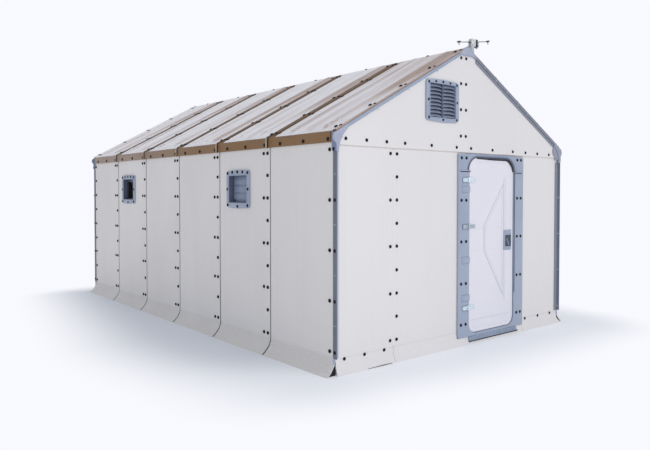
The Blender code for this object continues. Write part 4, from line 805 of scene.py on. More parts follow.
for name, end, left, right in (("front_gable_left", -1, -END_EDGE, GABLE_MIDDLE - SEAM_GAP / 2),
                               ("front_gable_right", -1, GABLE_MIDDLE + SEAM_GAP / 2, END_EDGE),
                               ("rear_gable_panel", 1, -END_EDGE, END_EDGE)):
    tops = (right, 0.0, left) if left < 0 < right else (right, left)
    outline = [(left, GABLE_SEAM), (right, GABLE_SEAM), *((x, roof_z(x, SHEET + TOUCH)) for x in tops)]
    hole = VENT_HOLE if end < 0 else (-VENT_HOLE[2], VENT_HOLE[1], -VENT_HOLE[0], VENT_HOLE[3])
    holes = [rectangle(*hole)[::-1]] if left < hole[0] and hole[2] < right else []

    def gable_point(x, z, depth):
        low_edge = near_to(z, GABLE_SEAM, 0.05)
        out = abs(depth)
        if out > HALF_L + SHEET / 2:
            out -= 0.0007 * (1 + wander(x * 2.2, z * 2.2, 2.0))
        return Vector((x, end * out, z + low_edge * lap_wander(x)))

    places = [left + (right - left) * k / 26 for k in range(1, 26)], [GABLE_SEAM + step for step in LAP_STEPS]
    centre = (0.0, 2.12) if end > 0 else ((left + right) / 2, 2.0)
    body = new_body()
    pressed_sheet(body, "Y", end * (HALF_L + TOUCH), end * GABLE_FACE, outline, places, gable_point,
                  holes=holes, marks=pressed(centre, (0.7, 0.12), 0.05))
    piece(f"sheet_{name}", body, FOAM_END, replaces=[name])

# Under each gable lap's edge, a brownish wedge paints the lap's shadow line
for end, end_name in ENDS:
    def under_lap(x, b, inner):
        notch = smooth(x, -0.972, -0.962) * (1 - smooth(x, -0.95, -0.94))
        out = 0.0004 if inner else 0.0006 + 0.011 * (0.5 + 0.5 * b)
        down = (0.0085 + 0.007 * notch) * (0.5 - 0.5 * b)
        return Vector((x, end * (HALF_L + out), GABLE_SEAM + 0.0006 + lap_wander(x) - down))

    body = new_body()
    net(body, stations(-END_EDGE + 0.045, (END_EDGE - 0.045, 120)), (-1.0, 1.0), under_lap)
    piece(f"gable_lap_edge_{end_name}", body, FOAM_LAP_SHADE)


# Roof sheets: one for each bay and slope, beaded along the seams and turned down as a band

FOLD_RADIUS = 0.014
FOLD_X = BAND_OUT - FOLD_RADIUS
FOLD_Z = roof_z(FOLD_X) - FOLD_RADIUS / math.cos(ANGLE)
RIDGE_X = 0.002
SLOPE_RUN = (FOLD_X + FOLD_RADIUS * math.sin(ANGLE) - RIDGE_X) / math.cos(ANGLE)
FOLD_RUN = SLOPE_RUN + FOLD_RADIUS * (math.pi / 2 - ANGLE)
ROOF_RUN = FOLD_RUN + FOLD_Z - BAND_LOW
ROOF_END = 2.7753
COVER_RUN = (BAND_OUT - 0.014 - 0.0023) / math.cos(ANGLE)
HOOK_RUN = COVER_RUN - 0.075
HUB_SIDE = 2.7193
HUB_RUN = (HALF_W - 0.0007 - RIDGE_X) / math.cos(ANGLE)
COVER_WAVES = ((0.22, 0.16, 0.05, 0.022), (0.47, 0.55, 0.06, 0.016), (0.76, 0.7, 0.045, 0.02))
COVER_LIP = (0.0, 0.0006, 0.0013, 0.006)


def roof_place(side, y, run, rise):
    """A point of the roof: run from the ridge down the slope, round the eave and down its band."""
    if run < SLOPE_RUN:
        x = RIDGE_X + run * math.cos(ANGLE) + rise * math.sin(ANGLE)
        z = RIDGE - SLOPE * RIDGE_X - run * math.sin(ANGLE) + rise * math.cos(ANGLE)
        return Vector((side * x, y, z))
    turn = max(0.0, math.pi / 2 - ANGLE - (run - SLOPE_RUN) / FOLD_RADIUS)
    reach = FOLD_RADIUS + rise
    z = FOLD_Z + reach * math.sin(turn) - max(0.0, run - FOLD_RUN)
    return Vector((side * (FOLD_X + reach * math.cos(turn)), y, z))


def eave_runs(start, slope_steps, end, band_steps):
    """Runs from a place on the slope to one on the band, close together round the fold."""
    return stations(start, (SLOPE_RUN, slope_steps), (FOLD_RUN, 5), (end, band_steps))


def bead(away):
    """Height of the bead at a distance from the edge of its sheet."""
    return 0.01 * (smooth(away, -0.004, 0.004) if away < 0.012 else 1 - smooth(away, 0.019, 0.028))


def length_of(points):
    return sum((after - before).length for before, after in zip(points, points[1:]))


for side, side_name in SIDES:
    for bay in range(BAYS):
        start = seam_y(bay) + 0.002 if bay else -ROOF_END
        end = seam_y(bay + 1) - 0.002 if bay < BAYS - 1 else ROOF_END

        def sheet_point(y, run, inner):
            if inner:
                return roof_place(side, y, run, -SHEET)
            rise = bead(min(y - start, end - y)) * smooth(run, 0.043, 0.054)
            return roof_place(side, y, run, rise + 0.0006 * wander(y * 4, run * 2, side))

        def hub_cell(y, run):
            return abs(y) > HUB_SIDE and run > HUB_RUN

        rim = (0.0, 0.002, 0.006, 0.012, 0.019, 0.022, 0.025, 0.028)
        columns = [start + step for step in rim] + [end - step for step in rim]
        columns += stations(start + 0.06, (end - 0.06, 12))
        columns += {0: [-HUB_SIDE], BAYS - 1: [HUB_SIDE]}.get(bay, [])
        rows = stations(0.0, (0.043, 2), (0.054, 3), (HUB_RUN, 14), (SLOPE_RUN, 1), (FOLD_RUN, 6),
                        (ROOF_RUN, 4))
        body = new_body()
        marks = pressed(((start + end) / 2, ROOF_RUN / 2), (2.0, 2.0), 0.01)
        net(body, sorted(columns), rows, sheet_point, hub_cell, marks)
        node = f"roof_panel_{side_name}"
        piece(f"roof_sheet_{side_name}_{bay + 1}", body, TAN, replaces=[node])

    # Over each seam: the lap's tab with two ribs, and black strips for the groove, the lap's gap and the
    # covers' piping, which paint the shade in the gaps and under the covers' edges
    tabs, ribs, strips = new_body(), new_body(), new_body()
    for seam in range(1, BAYS):
        middle = seam_y(seam)

        def tab_point(y, run, inner):
            rise = bead(max(0.004, y - middle - 0.002)) + (0.0004 if inner else 0.0042)
            return roof_place(side, y + 0.003 * wander(seam, run * 9, 1.0), run, rise)

        def groove_point(across, run, inner):
            return roof_place(side, middle + across * 0.0019, run, -0.009 if inner else 0.0098)

        def lap_point(across, run, inner):
            bend = -0.01 + 0.012 * smooth(run, SLOPE_RUN - 0.06, SLOPE_RUN + 0.02)
            half = 0.0046 + 0.0022 * math.sin(math.pi * min(1.0, (run - SLOPE_RUN + 0.09) / 0.2))
            return roof_place(side, middle + bend + across * half, run, 0.0134 if inner else 0.0164)

        def rib_point(across, run, inner):
            rise = bead(max(0.004, away - 0.002)) + (0.003 if inner else 0.0062)
            return roof_place(side, middle + away + across * 0.0034, run, rise)

        def piping_point(across, run, inner):
            hook = 0.02 * smooth(run, HOOK_RUN, COVER_RUN - 0.004) * along
            lift = 0.0005 if inner else 0.0085 - 0.002 * across ** 2
            return roof_place(side, middle + along * 0.0445 + hook + across * 0.0046, run, lift)

        net(tabs, stations(middle + 0.003, (middle + 0.052, 9)),
            eave_runs(SLOPE_RUN - 0.035, 3, ROOF_RUN - 0.001, 4), tab_point)
        net(strips, (-1.0, 1.0), eave_runs(0.02, 12, ROOF_RUN - 0.002, 3), groove_point)
        net(strips, (-1.0, 0.0, 1.0), eave_runs(SLOPE_RUN - 0.09, 8, ROOF_RUN + 0.003, 4), lap_point)
        for away in (0.012, 0.047):
            net(ribs, (-1.0, 0.0, 1.0), eave_runs(SLOPE_RUN - 0.03, 3, ROOF_RUN - 0.002, 4), rib_point)
        for along in (-1, 1):
            runs = stations(0.06, (HOOK_RUN, 20), (COVER_RUN - 0.004, 8))
            net(strips, (-1.0, 0.0, 1.0), runs, piping_point)
    piece(f"roof_tabs_{side_name}", tabs, TAN_LIGHT)
    piece(f"roof_tab_ribs_{side_name}", ribs, TAN_EDGE)
    piece(f"roof_seam_shades_{side_name}", strips, GASKET_AND_SHADE)

    # Covers: a folded sheet of cloth on each bay, at the ends brought over the roof's edge
    for bay in range(BAYS):
        over_near, over_far = bay == 0, bay == BAYS - 1
        start = -ROOF_END - 0.0012 if over_near else seam_y(bay) + 0.05
        end = ROOF_END + 0.0012 if over_far else seam_y(bay + 1) - 0.05
        low_seam, high_seam = seam_y(bay) + 0.049, seam_y(bay + 1) - 0.049
        length = COVER_RUN

        def cover_rise(y, run):
            """Height of the cloth's folds: three long waves, fine creases, and crumples near the eave."""
            share = run / length
            across = (y - low_seam) / (high_seam - low_seam)
            rim = smooth(min(y - low_seam, high_seam - y), 0.0, 0.05)
            rim *= smooth(min(run, length - run), 0.0, 0.06)
            rise = 0.0
            for at_eave, at_ridge, half, height in COVER_WAVES:
                place = at_ridge + (at_eave - at_ridge) * share
                place += 0.028 * wander(run * 1.4, bay * 2.1 + at_eave * 9, side)
                rise += 1.2 * height * math.exp(-(((across - place) / half) ** 2) / 2)
            rise *= 0.55 + 0.45 * share
            creases = wander(y * 11 + run * 1.1, run * 0.8, bay * 1.7)
            creases += 0.5 * wander(y * 26, run * 1.6, bay + 5.0)
            crumple = wander(y * 30, run * 30, bay) + 0.6 * wander(y * 62, run * 62, bay)
            crumple *= smooth(run, length - 0.34, length - 0.1)
            crumple *= 0.35 + 1.6 * max(0.0, wander(y * 4.0, run * 3.0, bay + 7.0))
            return rim * max(0.0, rise + 0.0026 * creases + 0.0052 * crumple + 0.0016)

        def cover_point(y, run, inner):
            lift = 0.001 + cover_rise(y, run)
            beyond = abs(y) - (HALF_L - 0.032)
            if beyond > 0.0:
                lift += 0.0103 * smooth(beyond, 0.0, 0.022) * smooth(run, 0.04, 0.052)
                lift -= 0.0092 * smooth(abs(y), ROOF_END + 0.0006, ROOF_END + 0.0012)
            edge = 0.004 * wander(y * 5, bay, 3.0) * smooth(run, length - 0.2, length)
            side_edge = near_to(y, start, 0.05) * (not over_near) - near_to(y, end, 0.05) * (not over_far)
            side_edge *= 0.003 * wander(run * 4, bay, 6.0)
            return roof_place(side, y + side_edge, run - max(0.0, edge), lift if inner else lift + 0.0022)

        def cut_away(y, run):
            at_hub = abs(y) > HALF_L - 0.02 and run < 0.052
            at_bracket = side > 0 and y < -HALF_L + 0.028 and 0.052 < run < 0.13
            at_corner = min(y - start, end - y) + (length - run) < 0.03
            return at_hub or at_bracket or (at_corner and not over_near and not over_far)

        def cover_marks(y, run):
            """Place on the cloth, its half size, and the share of painted shade in its folds and at its edges.
            """
            away = min(y - low_seam if not over_near else 9.0, high_seam - y if not over_far else 9.0)
            slant = cover_rise(y + 0.01, run) - cover_rise(y - 0.01, run)
            up = length - run
            # Painted shade: darker beside the seams, on the side each fold slants towards, in a patchy wander,
            # on the end rims, along the bay's edges towards the ridge and over the whole nearest bay
            shade = 0.55 * (1 - smooth(away, 0.004, 0.06)) + 72.0 * slant
            shade += 0.42 * wander(y * 6, run * 0.7, bay)
            if abs(y) > HALF_L + 0.008:
                shade += 1.0
            shade += 0.35 * (1 - smooth(abs(high_seam - 0.15 - y), 0.0, 0.028)) * smooth(up, 0.05, 0.5)
            shade += 0.5 * (1 - smooth(y - low_seam, 0.05, 0.42)) * smooth(up, 0.35, 1.5)
            if over_near:
                shade += 0.16 + 0.2 * smooth(up, 0.6, 1.6)
            return ((y - (start + end) / 2, run - length / 2, 0.0),
                    ((end - start) / 2, length / 2, min(1.0, max(0.0, shade))))

        columns = stations(start, (end, 78))
        if over_near:
            columns = sorted([y for y in columns if y > start + 0.012] + [start + step for step in COVER_LIP])
        if over_far:
            columns = sorted([y for y in columns if y < end - 0.012] + [end - step for step in COVER_LIP])
        rows = stations(0.0, (0.052, 3), (0.13, 4), (length, 78))
        body = new_body()
        net(body, columns, rows, cover_point, cut_away, cover_marks)
        node = f"roof_cover_{side_name}"
        cover = piece(f"cover_{side_name}_{bay + 1}", body, CLOTH, replaces=[node], angle=70.0)
        across = [length_of([cover_point(y, run, False) for y in columns]) for run in rows[::6]]
        down = [length_of([cover_point(y, run, False) for run in rows]) for y in columns[::6]]


# Corners: a steel angle up each, a moulded hub at its head, and a dark sheet between the skirts that paints the
# shade in the corner's gap

POST_X = HALF_W + TOUCH
POST_Y = HALF_L + TOUCH
POST_OUT = 0.0292
HUB_OUT = HALF_L + 0.0282
HUB_LOW = EAVE - 0.158
HUB_NECK = HALF_W - 0.022
HUB_REACH = HALF_W - 0.115
DISC = (HALF_W - 0.006, EAVE - 0.042)
HUB_SCREW = (DISC[0] - 0.034, DISC[1] + 0.004)

post_outline = [(POST_X + a, POST_Y + b) for a, b in (
    (0.005, -0.015), (0.0, -0.015), (0.0, 0.0), (-0.035, 0.0), (-0.035, 0.0025), (-0.002, 0.0025),
    (-0.001, POST_OUT - 0.008), (-0.004, POST_OUT - 0.002),
    *reversed(arc((0.0015, POST_OUT - 0.003), 0.003, 0, 90, 5)), (0.0045, -0.011), (0.005, -0.0115))]
lining_outline = [(POST_X + a, POST_Y + b) for a, b in (
    (-0.0352, 0.0024), (-0.0018, 0.0024), (-0.0018, POST_OUT - 0.0075), (-0.0048, POST_OUT - 0.0035),
    (-0.005, 0.006), (-0.008, 0.0042), (-0.0352, 0.0042))]
hub_outline = [
    (HUB_NECK, HUB_LOW), (POST_X + 0.003, HUB_LOW), (POST_X + 0.003, GABLE_SEAM),
    *arc(DISC, 0.042, -30, 70, 16), (HUB_REACH, roof_z(HUB_REACH)),
    *curve((HUB_REACH, roof_z(HUB_REACH, 0.034)), (HUB_NECK - 0.006, GABLE_SEAM + 0.052),
           (HUB_NECK, HUB_LOW + 0.012), 12)]
hub_side = [(POST_Y + a, EAVE + b) for a, b in (
    (-0.024, 0.001), (0.0275, 0.001), (0.0275, -0.13), (0.024, -0.154), (-0.016, -0.154), (-0.024, -0.09))]
hub_base = [
    *((POST_X + a, EAVE + b) for a, b in (
        (0.002, -0.12), *curve((-0.072, -0.126), (-0.08, -0.1), (-0.112, -0.078), 6),
        *curve((-0.126, -0.052), (-0.132, -0.022), (-0.12, 0.01), 6))),
    *((POST_X - a, roof_z(POST_X - a, SHEET + 0.004)) for a in (0.112, 0.03)), (POST_X + 0.002, EAVE - 0.02)]
skirt_inside = [(flare(z)[1] - SHEET - 0.001, z) for z in stations(0.002, (FLARE_HEIGHT - 0.004, 8))]
corner_shade_outline = [(END_EDGE + 0.001, 0.002), *skirt_inside, (END_EDGE + 0.001, FLARE_HEIGHT - 0.004)]
corner_shade_backing = rounded(END_EDGE - 0.075, 0.002, END_EDGE + 0.003, FLARE_HEIGHT - 0.006, 0.003)
foot_outline = [(END_EDGE + 0.003, 0.146), (POST_X + 0.004, 0.146), (POST_X + 0.01, 0.105),
                (POST_X - 0.004, 0.072)]
hub_screw_profile = ((0.0175, -0.001), (0.0175, 0.001), (0.0165, 0.0014), (0.014, 0.0014), (0.0132, 0.0006),
                     (0.0, 0.0003))

for end, end_name in ENDS:
    for side, side_name in SIDES:
        corner_name = f"{end_name}_{side_name}"
        node = f"corner_cover_{corner_name}"
        shaded_corner = side == -end

        def corner_slab(body, back, front, outline, round_by):
            slab(body, "Y", end * back, end * front, flipped(outline, side), round_by)

        body = new_body()
        slab(body, "Z", 0.138, HUB_LOW + 0.004, flipped(post_outline, side, end), 0.0004)
        piece(f"corner_angle_{corner_name}", body, BLUE_DARK, replaces=[node])
        # A corner that faces away from the light gets painted shade copies for its lining and its hub
        body = new_body()
        lining = [(x - (0.023 if shaded_corner and x < POST_X - 0.03 else 0.0), y) for x, y in lining_outline]
        slab(body, "Z", 0.139, HUB_LOW + 0.003, flipped(lining, side, end), 0.0002)
        piece(f"corner_lining_{corner_name}", body, PAINTED_SHADE_SIDE if shaded_corner else POST_PALE)

        body = new_body()
        corner_slab(body, STRIP_FACE + TOUCH, HUB_OUT, hub_outline, 0.0022)
        neck = rounded(HUB_NECK + 0.001, HUB_LOW + 0.001, POST_X + 0.0025, GABLE_SEAM - 0.001, 0.006)
        corner_slab(body, POST_Y + 0.0001, HUB_OUT - 0.001, neck, 0.0015)
        lathe(body, (side * HUB_SCREW[0], end * HUB_OUT, HUB_SCREW[1]), (0, end, 0), hub_screw_profile, 28)
        slot = [(side * HUB_SCREW[0] + a, HUB_SCREW[1] + b)
                for a, b in rounded(-0.007, -0.0012, 0.007, 0.0012, 0.001)]
        slab(body, "Y", end * HUB_OUT, end * (HUB_OUT + 0.0013), slot, 0.0004)
        if shaded_corner:
            corner_slab(body, STRIP_FACE + TOUCH, STRIP_FACE + 0.0065, hub_base, 0.002)
        finish = PAINTED_SHADE_HUB if shaded_corner else BLUE_PALE
        piece(f"eave_hub_{corner_name}", body, finish, replaces=[node], angle=40.0)
        body = new_body()
        slab(body, "X", side * (POST_X + 0.0001), side * (POST_X + 0.015), flipped(hub_side, end), 0.003)
        piece(f"eave_hub_side_{corner_name}", body, LOUVRE, replaces=[node], angle=40.0)

        # The skirts meet over a dark sheet that paints the shade in the corner's gap, with the foot of the post
        # showing in it
        body = new_body()
        corner_slab(body, HALF_L - 0.02, HALF_L - 0.004, corner_shade_outline, 0.0008)
        corner_slab(body, HALF_L - 0.03, HALF_L - 0.0135, corner_shade_backing, 0.0008)
        piece(f"skirt_corner_shade_{corner_name}", body, GASKET_AND_SHADE)
        body = new_body()
        corner_slab(body, HALF_L - 0.004, HALF_L + 0.0015, foot_outline, 0.0012)
        piece(f"post_foot_{corner_name}", body, BLUE)


# Gable edges: a strip along each rafter, joined by a hub over the ridge

STRIP_TOP = 0.001
STRIP_LOW = 0.027
STRIP_FOOT = HUB_REACH - 0.0006
STRIP_OUT = HALF_L + 0.0252
RIDGE_HUB_X = 0.1256


def rafter_band(side, head, upper, lower):
    """Outline of a strip along a rafter, from a distance off the ridge to the eave hub."""
    return [(side * x, roof_z(x, depth)) for x, depth in
            ((head, upper), (STRIP_FOOT, upper), (STRIP_FOOT, lower), (head, lower))]


wing = [(0.0, RIDGE + 0.015), (0.03, roof_z(0.03) + 0.013), (0.085, roof_z(0.085) + 0.004),
        (0.125, roof_z(0.125)), (0.125, roof_z(0.125, 0.022)),
        *curve((0.123, roof_z(0.125, 0.022) - 0.002), (0.098, RIDGE - 0.0775), (0.072, RIDGE - 0.078), 8)]
gusset = wing + [(-x, z) for x, z in reversed(wing[1:])]
saddle = [(x, roof_z(x, -TOUCH - rise)) for x, rise in
          ((0.0, 0.0), (0.04, 0.0), (0.04, 0.0045), (0.036, 0.006), (0.0, 0.0062))]
saddle += [(-x, z) for x, z in reversed(saddle[1:-1])]

for end, name in ENDS:
    node = f"gable_cap_{name}"
    for side, side_name in SIDES:
        shaded_side = side == -end
        body = new_body()
        slab(body, "Y", end * (GABLE_FACE + TOUCH), end * (ROOF_END + 0.0006),
             rafter_band(side, 0.07, SHEET + TOUCH, STRIP_LOW))
        slab(body, "Y", end * (ROOF_END + 0.0004), end * STRIP_OUT,
             rafter_band(side, RIDGE_HUB_X, STRIP_TOP, STRIP_LOW), 0.0006)
        for upper, lower in ((STRIP_TOP, STRIP_TOP + 0.005), (STRIP_LOW - 0.005, STRIP_LOW)):
            slab(body, "Y", end * (STRIP_OUT - 0.001), end * (STRIP_OUT + 0.0022),
                 rafter_band(side, RIDGE_HUB_X, upper, lower), 0.0008)
        # On the side that faces away from the light, the strip is in a painted shade copy of its moulding, and
        # a dark strip beneath paints its shaded underside
        piece(f"rafter_strip_{name}_{side_name}", body, PAINTED_SHADE_SIDE if shaded_side else BLUE, replaces=[node])
        if shaded_side:
            body = new_body()
            slab(body, "Y", end * (GABLE_FACE + TOUCH), end * (GABLE_FACE + 0.0075),
                 rafter_band(side, RIDGE_HUB_X, STRIP_LOW + 0.0001, STRIP_LOW + 0.028), 0.0016)
            piece(f"rafter_strip_lining_{name}_{side_name}", body, PAINTED_SHADE_SIDE)

    body = new_body()
    slab(body, "Y", end * (ROOF_END + TOUCH), end * HUB_OUT, gusset, 0.0024)
    slab(body, "Y", end * (GABLE_FACE + TOUCH), end * (ROOF_END + 0.001),
         [(x, min(z, roof_z(x, SHEET + TOUCH + 0.001))) for x, z in gusset])
    slab(body, "Y", end * (HUB_OUT - 0.001), end * (HUB_OUT + 0.0013), offset(gusset, -0.009), 0.0006,
         [offset(gusset, -0.012)[::-1]])
    for lean in (-1, 1):
        web = [(lean * x, RIDGE - down) for x, down in
               ((0.004, 0.052), (0.022, 0.03), (0.025, 0.032), (0.007, 0.055))]
        slab(body, "Y", end * (HUB_OUT - 0.001), end * (HUB_OUT + 0.0014), web, 0.0006)
    slab(body, "Y", end * (HALF_L - 0.015), end * (HUB_OUT - 0.001), saddle)
    piece(f"ridge_hub_{name}", body, BLUE_PALE, replaces=[node], angle=40.0)

    body = new_body()
    for x, z, radius in ((0.0, RIDGE + 0.001, 0.0045), (-0.104, roof_z(0.104, 0.012), 0.004),
                         (0.104, roof_z(0.104, 0.012), 0.004)):
        cup = ((radius + 0.0012, 0.0), (radius + 0.0012, 0.0007), (radius, 0.0008), (radius * 0.9, 0.0002),
               (0.0, 0.0002))
        lathe(body, (x, end * HUB_OUT, z), (0, end, 0), cup)
    piece(f"ridge_hub_sockets_{name}", body, LEVER)


# Ridge bracket: a strapped clamp beside the ridge, with two tilted arms, their pads and bolts

CLAMP_X = 0.117
CLAMP_BASE, ARM_Z, CLAMP_TOP = (roof_z(CLAMP_X, -0.0103) + up for up in (0.08, 0.128, 0.152))
CLAMP_NEAR = -ROOF_END
CLAMP_MIDDLE = CLAMP_NEAR + 0.02
PAD_REACH = 0.22
TILTED = (Matrix.Translation((CLAMP_X, CLAMP_MIDDLE, ARM_Z)) @ Matrix.Rotation(-math.radians(9.0), 4, "Y")
          @ Matrix.Translation((-CLAMP_X, -CLAMP_MIDDLE, -ARM_Z)))

clamp = [
    (0.0605, roof_z(0.0605, -0.0103)), (0.0995, roof_z(0.0995, -0.0103)),
    *((x, CLAMP_BASE + up) for x, up in
      ((0.103, -0.004), (0.106, 0.0), (0.17, 0.0), (0.1745, 0.004), (0.1735, 0.04))),
    *((x, CLAMP_TOP - down) for x, down in
      ((0.168, 0.014), (0.156, 0.006), (0.086, 0.001), (0.074, 0.0), (0.067, 0.006), (0.064, 0.022))),
    (0.0596, CLAMP_BASE + 0.01)]
body = new_body()
slab(body, "Y", CLAMP_NEAR + 0.012, CLAMP_NEAR, clamp, 0.0015)
slab(body, "Y", CLAMP_NEAR + 0.028, CLAMP_NEAR + 0.04, clamp, 0.0015)
slab(body, "Y", CLAMP_NEAR + 0.011, CLAMP_NEAR + 0.029, offset(clamp, -0.0045))
for x, z in ((0.08, CLAMP_BASE + 0.014), (0.16, CLAMP_BASE + 0.014), (0.088, CLAMP_TOP - 0.016)):
    knob = ((0.006, -0.002), (0.0065, 0.0006), (0.0065, 0.003), (0.0045, 0.0042), (0.0, 0.0042))
    lathe(body, (x, CLAMP_NEAR + 0.001, z), (0, -1, 0), knob, 12)
lug = rounded(0.15, CLAMP_BASE - 0.012, 0.17, CLAMP_BASE + 0.002, 0.004)
slab(body, "Y", CLAMP_NEAR + 0.026, CLAMP_NEAR + 0.014, lug, 0.0015)
piece("ridge_clamp", body, CLAMP, replaces=["ridge_bracket"])

body = new_body()
bar = rectangle(CLAMP_X - 0.2385, ARM_Z - 0.003, CLAMP_X + 0.2385, ARM_Z + 0.003)
slab(body, "Y", CLAMP_MIDDLE + 0.007, CLAMP_MIDDLE - 0.007, bar, 0.001)
thread = [place for turn in range(9) for place in
          ((0.004, 0.0058 + turn * 0.0021), (0.0033, 0.0069 + turn * 0.0021))]
bolt = [(0.0036, 0.0), *thread, (0.003, 0.0255), (0.0, 0.0258)]
nut = ((0.0075, 0.0), (0.008, 0.0008), (0.008, 0.005), (0.0072, 0.0058), (0.0, 0.0058))
for side in (-1, 1):
    web = [(CLAMP_X + side * x, ARM_Z - down) for x, down in
           ((0.046, 0.0125), (0.062, 0.0125), (0.096, 0.0025), (0.096, 0.0), (0.046, 0.0))]
    slab(body, "Y", CLAMP_MIDDLE + 0.002, CLAMP_MIDDLE - 0.002, web, 0.0006)
    for profile, sides in ((nut, 6), (bolt, 12)):
        lathe(body, (CLAMP_X + side * PAD_REACH, CLAMP_MIDDLE, ARM_Z - 0.0029), (0, 0, -1), profile, sides)
bmesh.ops.transform(body, matrix=TILTED, verts=body.verts)
piece("ridge_bracket_arms", body, ARM, replaces=["ridge_bracket"])

body = new_body()
disc = ((0.017, -0.0002), (0.019, 0.0012), (0.019, 0.0056), (0.0175, 0.007), (0.0, 0.007))
lip = ((0.0176, 0.0), (0.0176, 0.0022), (0.016, 0.0026), (0.0, 0.0026))
for side in (-1, 1):
    for up, facing, profile in ((0.0029, 1, disc), (0.0032, -1, lip)):
        lathe(body, (CLAMP_X + side * PAD_REACH, CLAMP_MIDDLE, ARM_Z + up), (0, 0, facing), profile, 24)
bmesh.ops.transform(body, matrix=TILTED, verts=body.verts)
piece("ridge_bracket_pads", body, LEVER, replaces=["ridge_bracket"])

body = new_body()
around = rectangle(CLAMP_NEAR - 0.0002, CLAMP_BASE - 0.0002, CLAMP_NEAR + 0.0402, CLAMP_TOP - 0.0045)
band = rounded(CLAMP_NEAR - 0.002, CLAMP_BASE - 0.0022, CLAMP_NEAR + 0.042, CLAMP_TOP - 0.0022, 0.0018,
               steps=3)
slab(body, "X", 0.128, 0.15, band, 0.0006, [around])
buckle = rounded(0.1265, CLAMP_BASE + 0.006, 0.1515, CLAMP_BASE + 0.02, 0.003, steps=3)
slab(body, "Y", CLAMP_NEAR - 0.0018, CLAMP_NEAR - 0.004, buckle, 0.0008)
piece("ridge_clamp_strap", body, RUBBER)


# Door frame: head, jambs, sill, and its trims

LEDGE = DOOR_HIGH - 0.13
FLANGE_TOP = DOOR_HIGH + 0.03
FLANGE_L, FLANGE_R = DOOR_LEFT - 0.165, DOOR_RIGHT + 0.1585
FRAME_BACK = -(HALF_L + TOUCH)
FRAME_FOOT = 0.0703
HINGE_Z = (0.351, 1.128, 1.572)
TRIM = 0.045
HINGE_X, HINGE_Y = DOOR_LEFT - 0.015, -(DOOR_FACE + 0.0065)
TAB_Z = (0.446, 0.808, 1.483)


def door_arch(grow):
    """The doorway's top edge from ledge to ledge, grown by a distance."""
    return [*reversed(arc((DOOR_LEFT + 0.13, LEDGE), 0.13 + grow, 90, 180, 16)),
            *reversed(arc((DOOR_RIGHT - 0.13, LEDGE), 0.13 + grow, 0, 90, 16))]


def wide_arch():
    """The outer edge of the arch's sunk trim, wider towards the ledges."""
    points = []
    for centre, first, last in ((DOOR_LEFT - TRIM + 0.185, 180, 90), (DOOR_RIGHT + TRIM - 0.185, 90, 0)):
        for k in range(17):
            turn = math.radians(first + (last - first) * k / 16)
            points.append((centre + 0.185 * math.cos(turn), LEDGE + TOUCH + 0.154 * math.sin(turn)))
    return points


def trim_point(step, u, inner):
    first, last = inner_arch[int(step)], outer_arch[int(step)]
    sunk = 0.0085 * (1 - smooth(u, 0.62, 0.98)) - 0.0022 * (smooth(u, 0.08, 0.16) - smooth(u, 0.3, 0.4))
    x, z = (first[k] + (last[k] - first[k]) * u for k in (0, 1))
    return Vector((x, FRAME_BACK if inner else -DOOR_FACE + sunk, max(LEDGE + TOUCH, z)))


def on_frame(body, proud, outline, round_by):
    """A slab on the door frame's face."""
    slab(body, "Y", -DOOR_FACE + 0.001, -DOOR_FACE - proud, outline, round_by)


inner_arch, outer_arch = door_arch(0.0005), wide_arch()
head = [(FLANGE_L, LEDGE + TOUCH), *outer_arch, (FLANGE_R, LEDGE + TOUCH),
        *arc((FLANGE_R - 0.006, FLANGE_TOP - 0.006), 0.006, 0, 90, 3),
        *arc((FLANGE_L + 0.006, FLANGE_TOP - 0.006), 0.006, 90, 180, 3)]
# The arch's sunk trim is in two darker mouldings, painted shade that deepens towards the doorway
for name, finish, first, last, steps in (("door_head_moulding", BLUE, 0.7, 1.0, 5),
                                         ("door_arch_inner_trim", RECESS_SHADE, 0.0, 0.38, 6),
                                         ("door_arch_outer_trim", LOUVRE, 0.38, 0.7, 5)):
    is_head = name == "door_head_moulding"
    body = new_body()
    if is_head:
        slab(body, "Y", FRAME_BACK, -DOOR_FACE, head, 0.0016)
    net(body, range(len(inner_arch)), stations(first, (last, steps)), trim_point)
    piece(name, body, finish, replaces=["door_head"] if is_head else (), angle=40.0)

jamb = [(FLANGE_L + 0.014, FRAME_FOOT), (DOOR_LEFT + 0.1, FRAME_FOOT),
        *reversed(arc((DOOR_LEFT + 0.1, DOOR_LOW + 0.1), 0.1, 180, 270, 14)),
        (DOOR_LEFT, LEDGE), (FLANGE_L, LEDGE), (FLANGE_L, 0.102)]
recess_cuts = [place + step for place in HINGE_Z
               for step in (-0.036, -0.034, -0.026, -0.024, 0.024, 0.026, 0.034, 0.036)]


def jamb_point(x, z, depth):
    """Grooves round the hinge plates, and a lower rim along the jamb's edge."""
    recess = 0.0
    for place in HINGE_Z:
        away = abs(z - place)
        if away <= 0.0345 and x >= -0.0605 and not (away < 0.0245 and x > -0.0505):
            recess = 0.0032
    if z > 1.0 and x < -0.11:
        recess = 0.0015
    return Vector((x, depth + (recess if abs(depth + DOOR_FACE) < 1e-5 else 0.0), z))


body = new_body()
pressed_sheet(body, "Y", FRAME_BACK, -DOOR_FACE, jamb,
              ([-0.1115, -0.11, -0.062, -0.06, -0.052, -0.05], [*recess_cuts, 1.0]), jamb_point, 0.0025)
piece("door_jamb_left_moulding", body, BLUE, replaces=["door_jamb_left"])

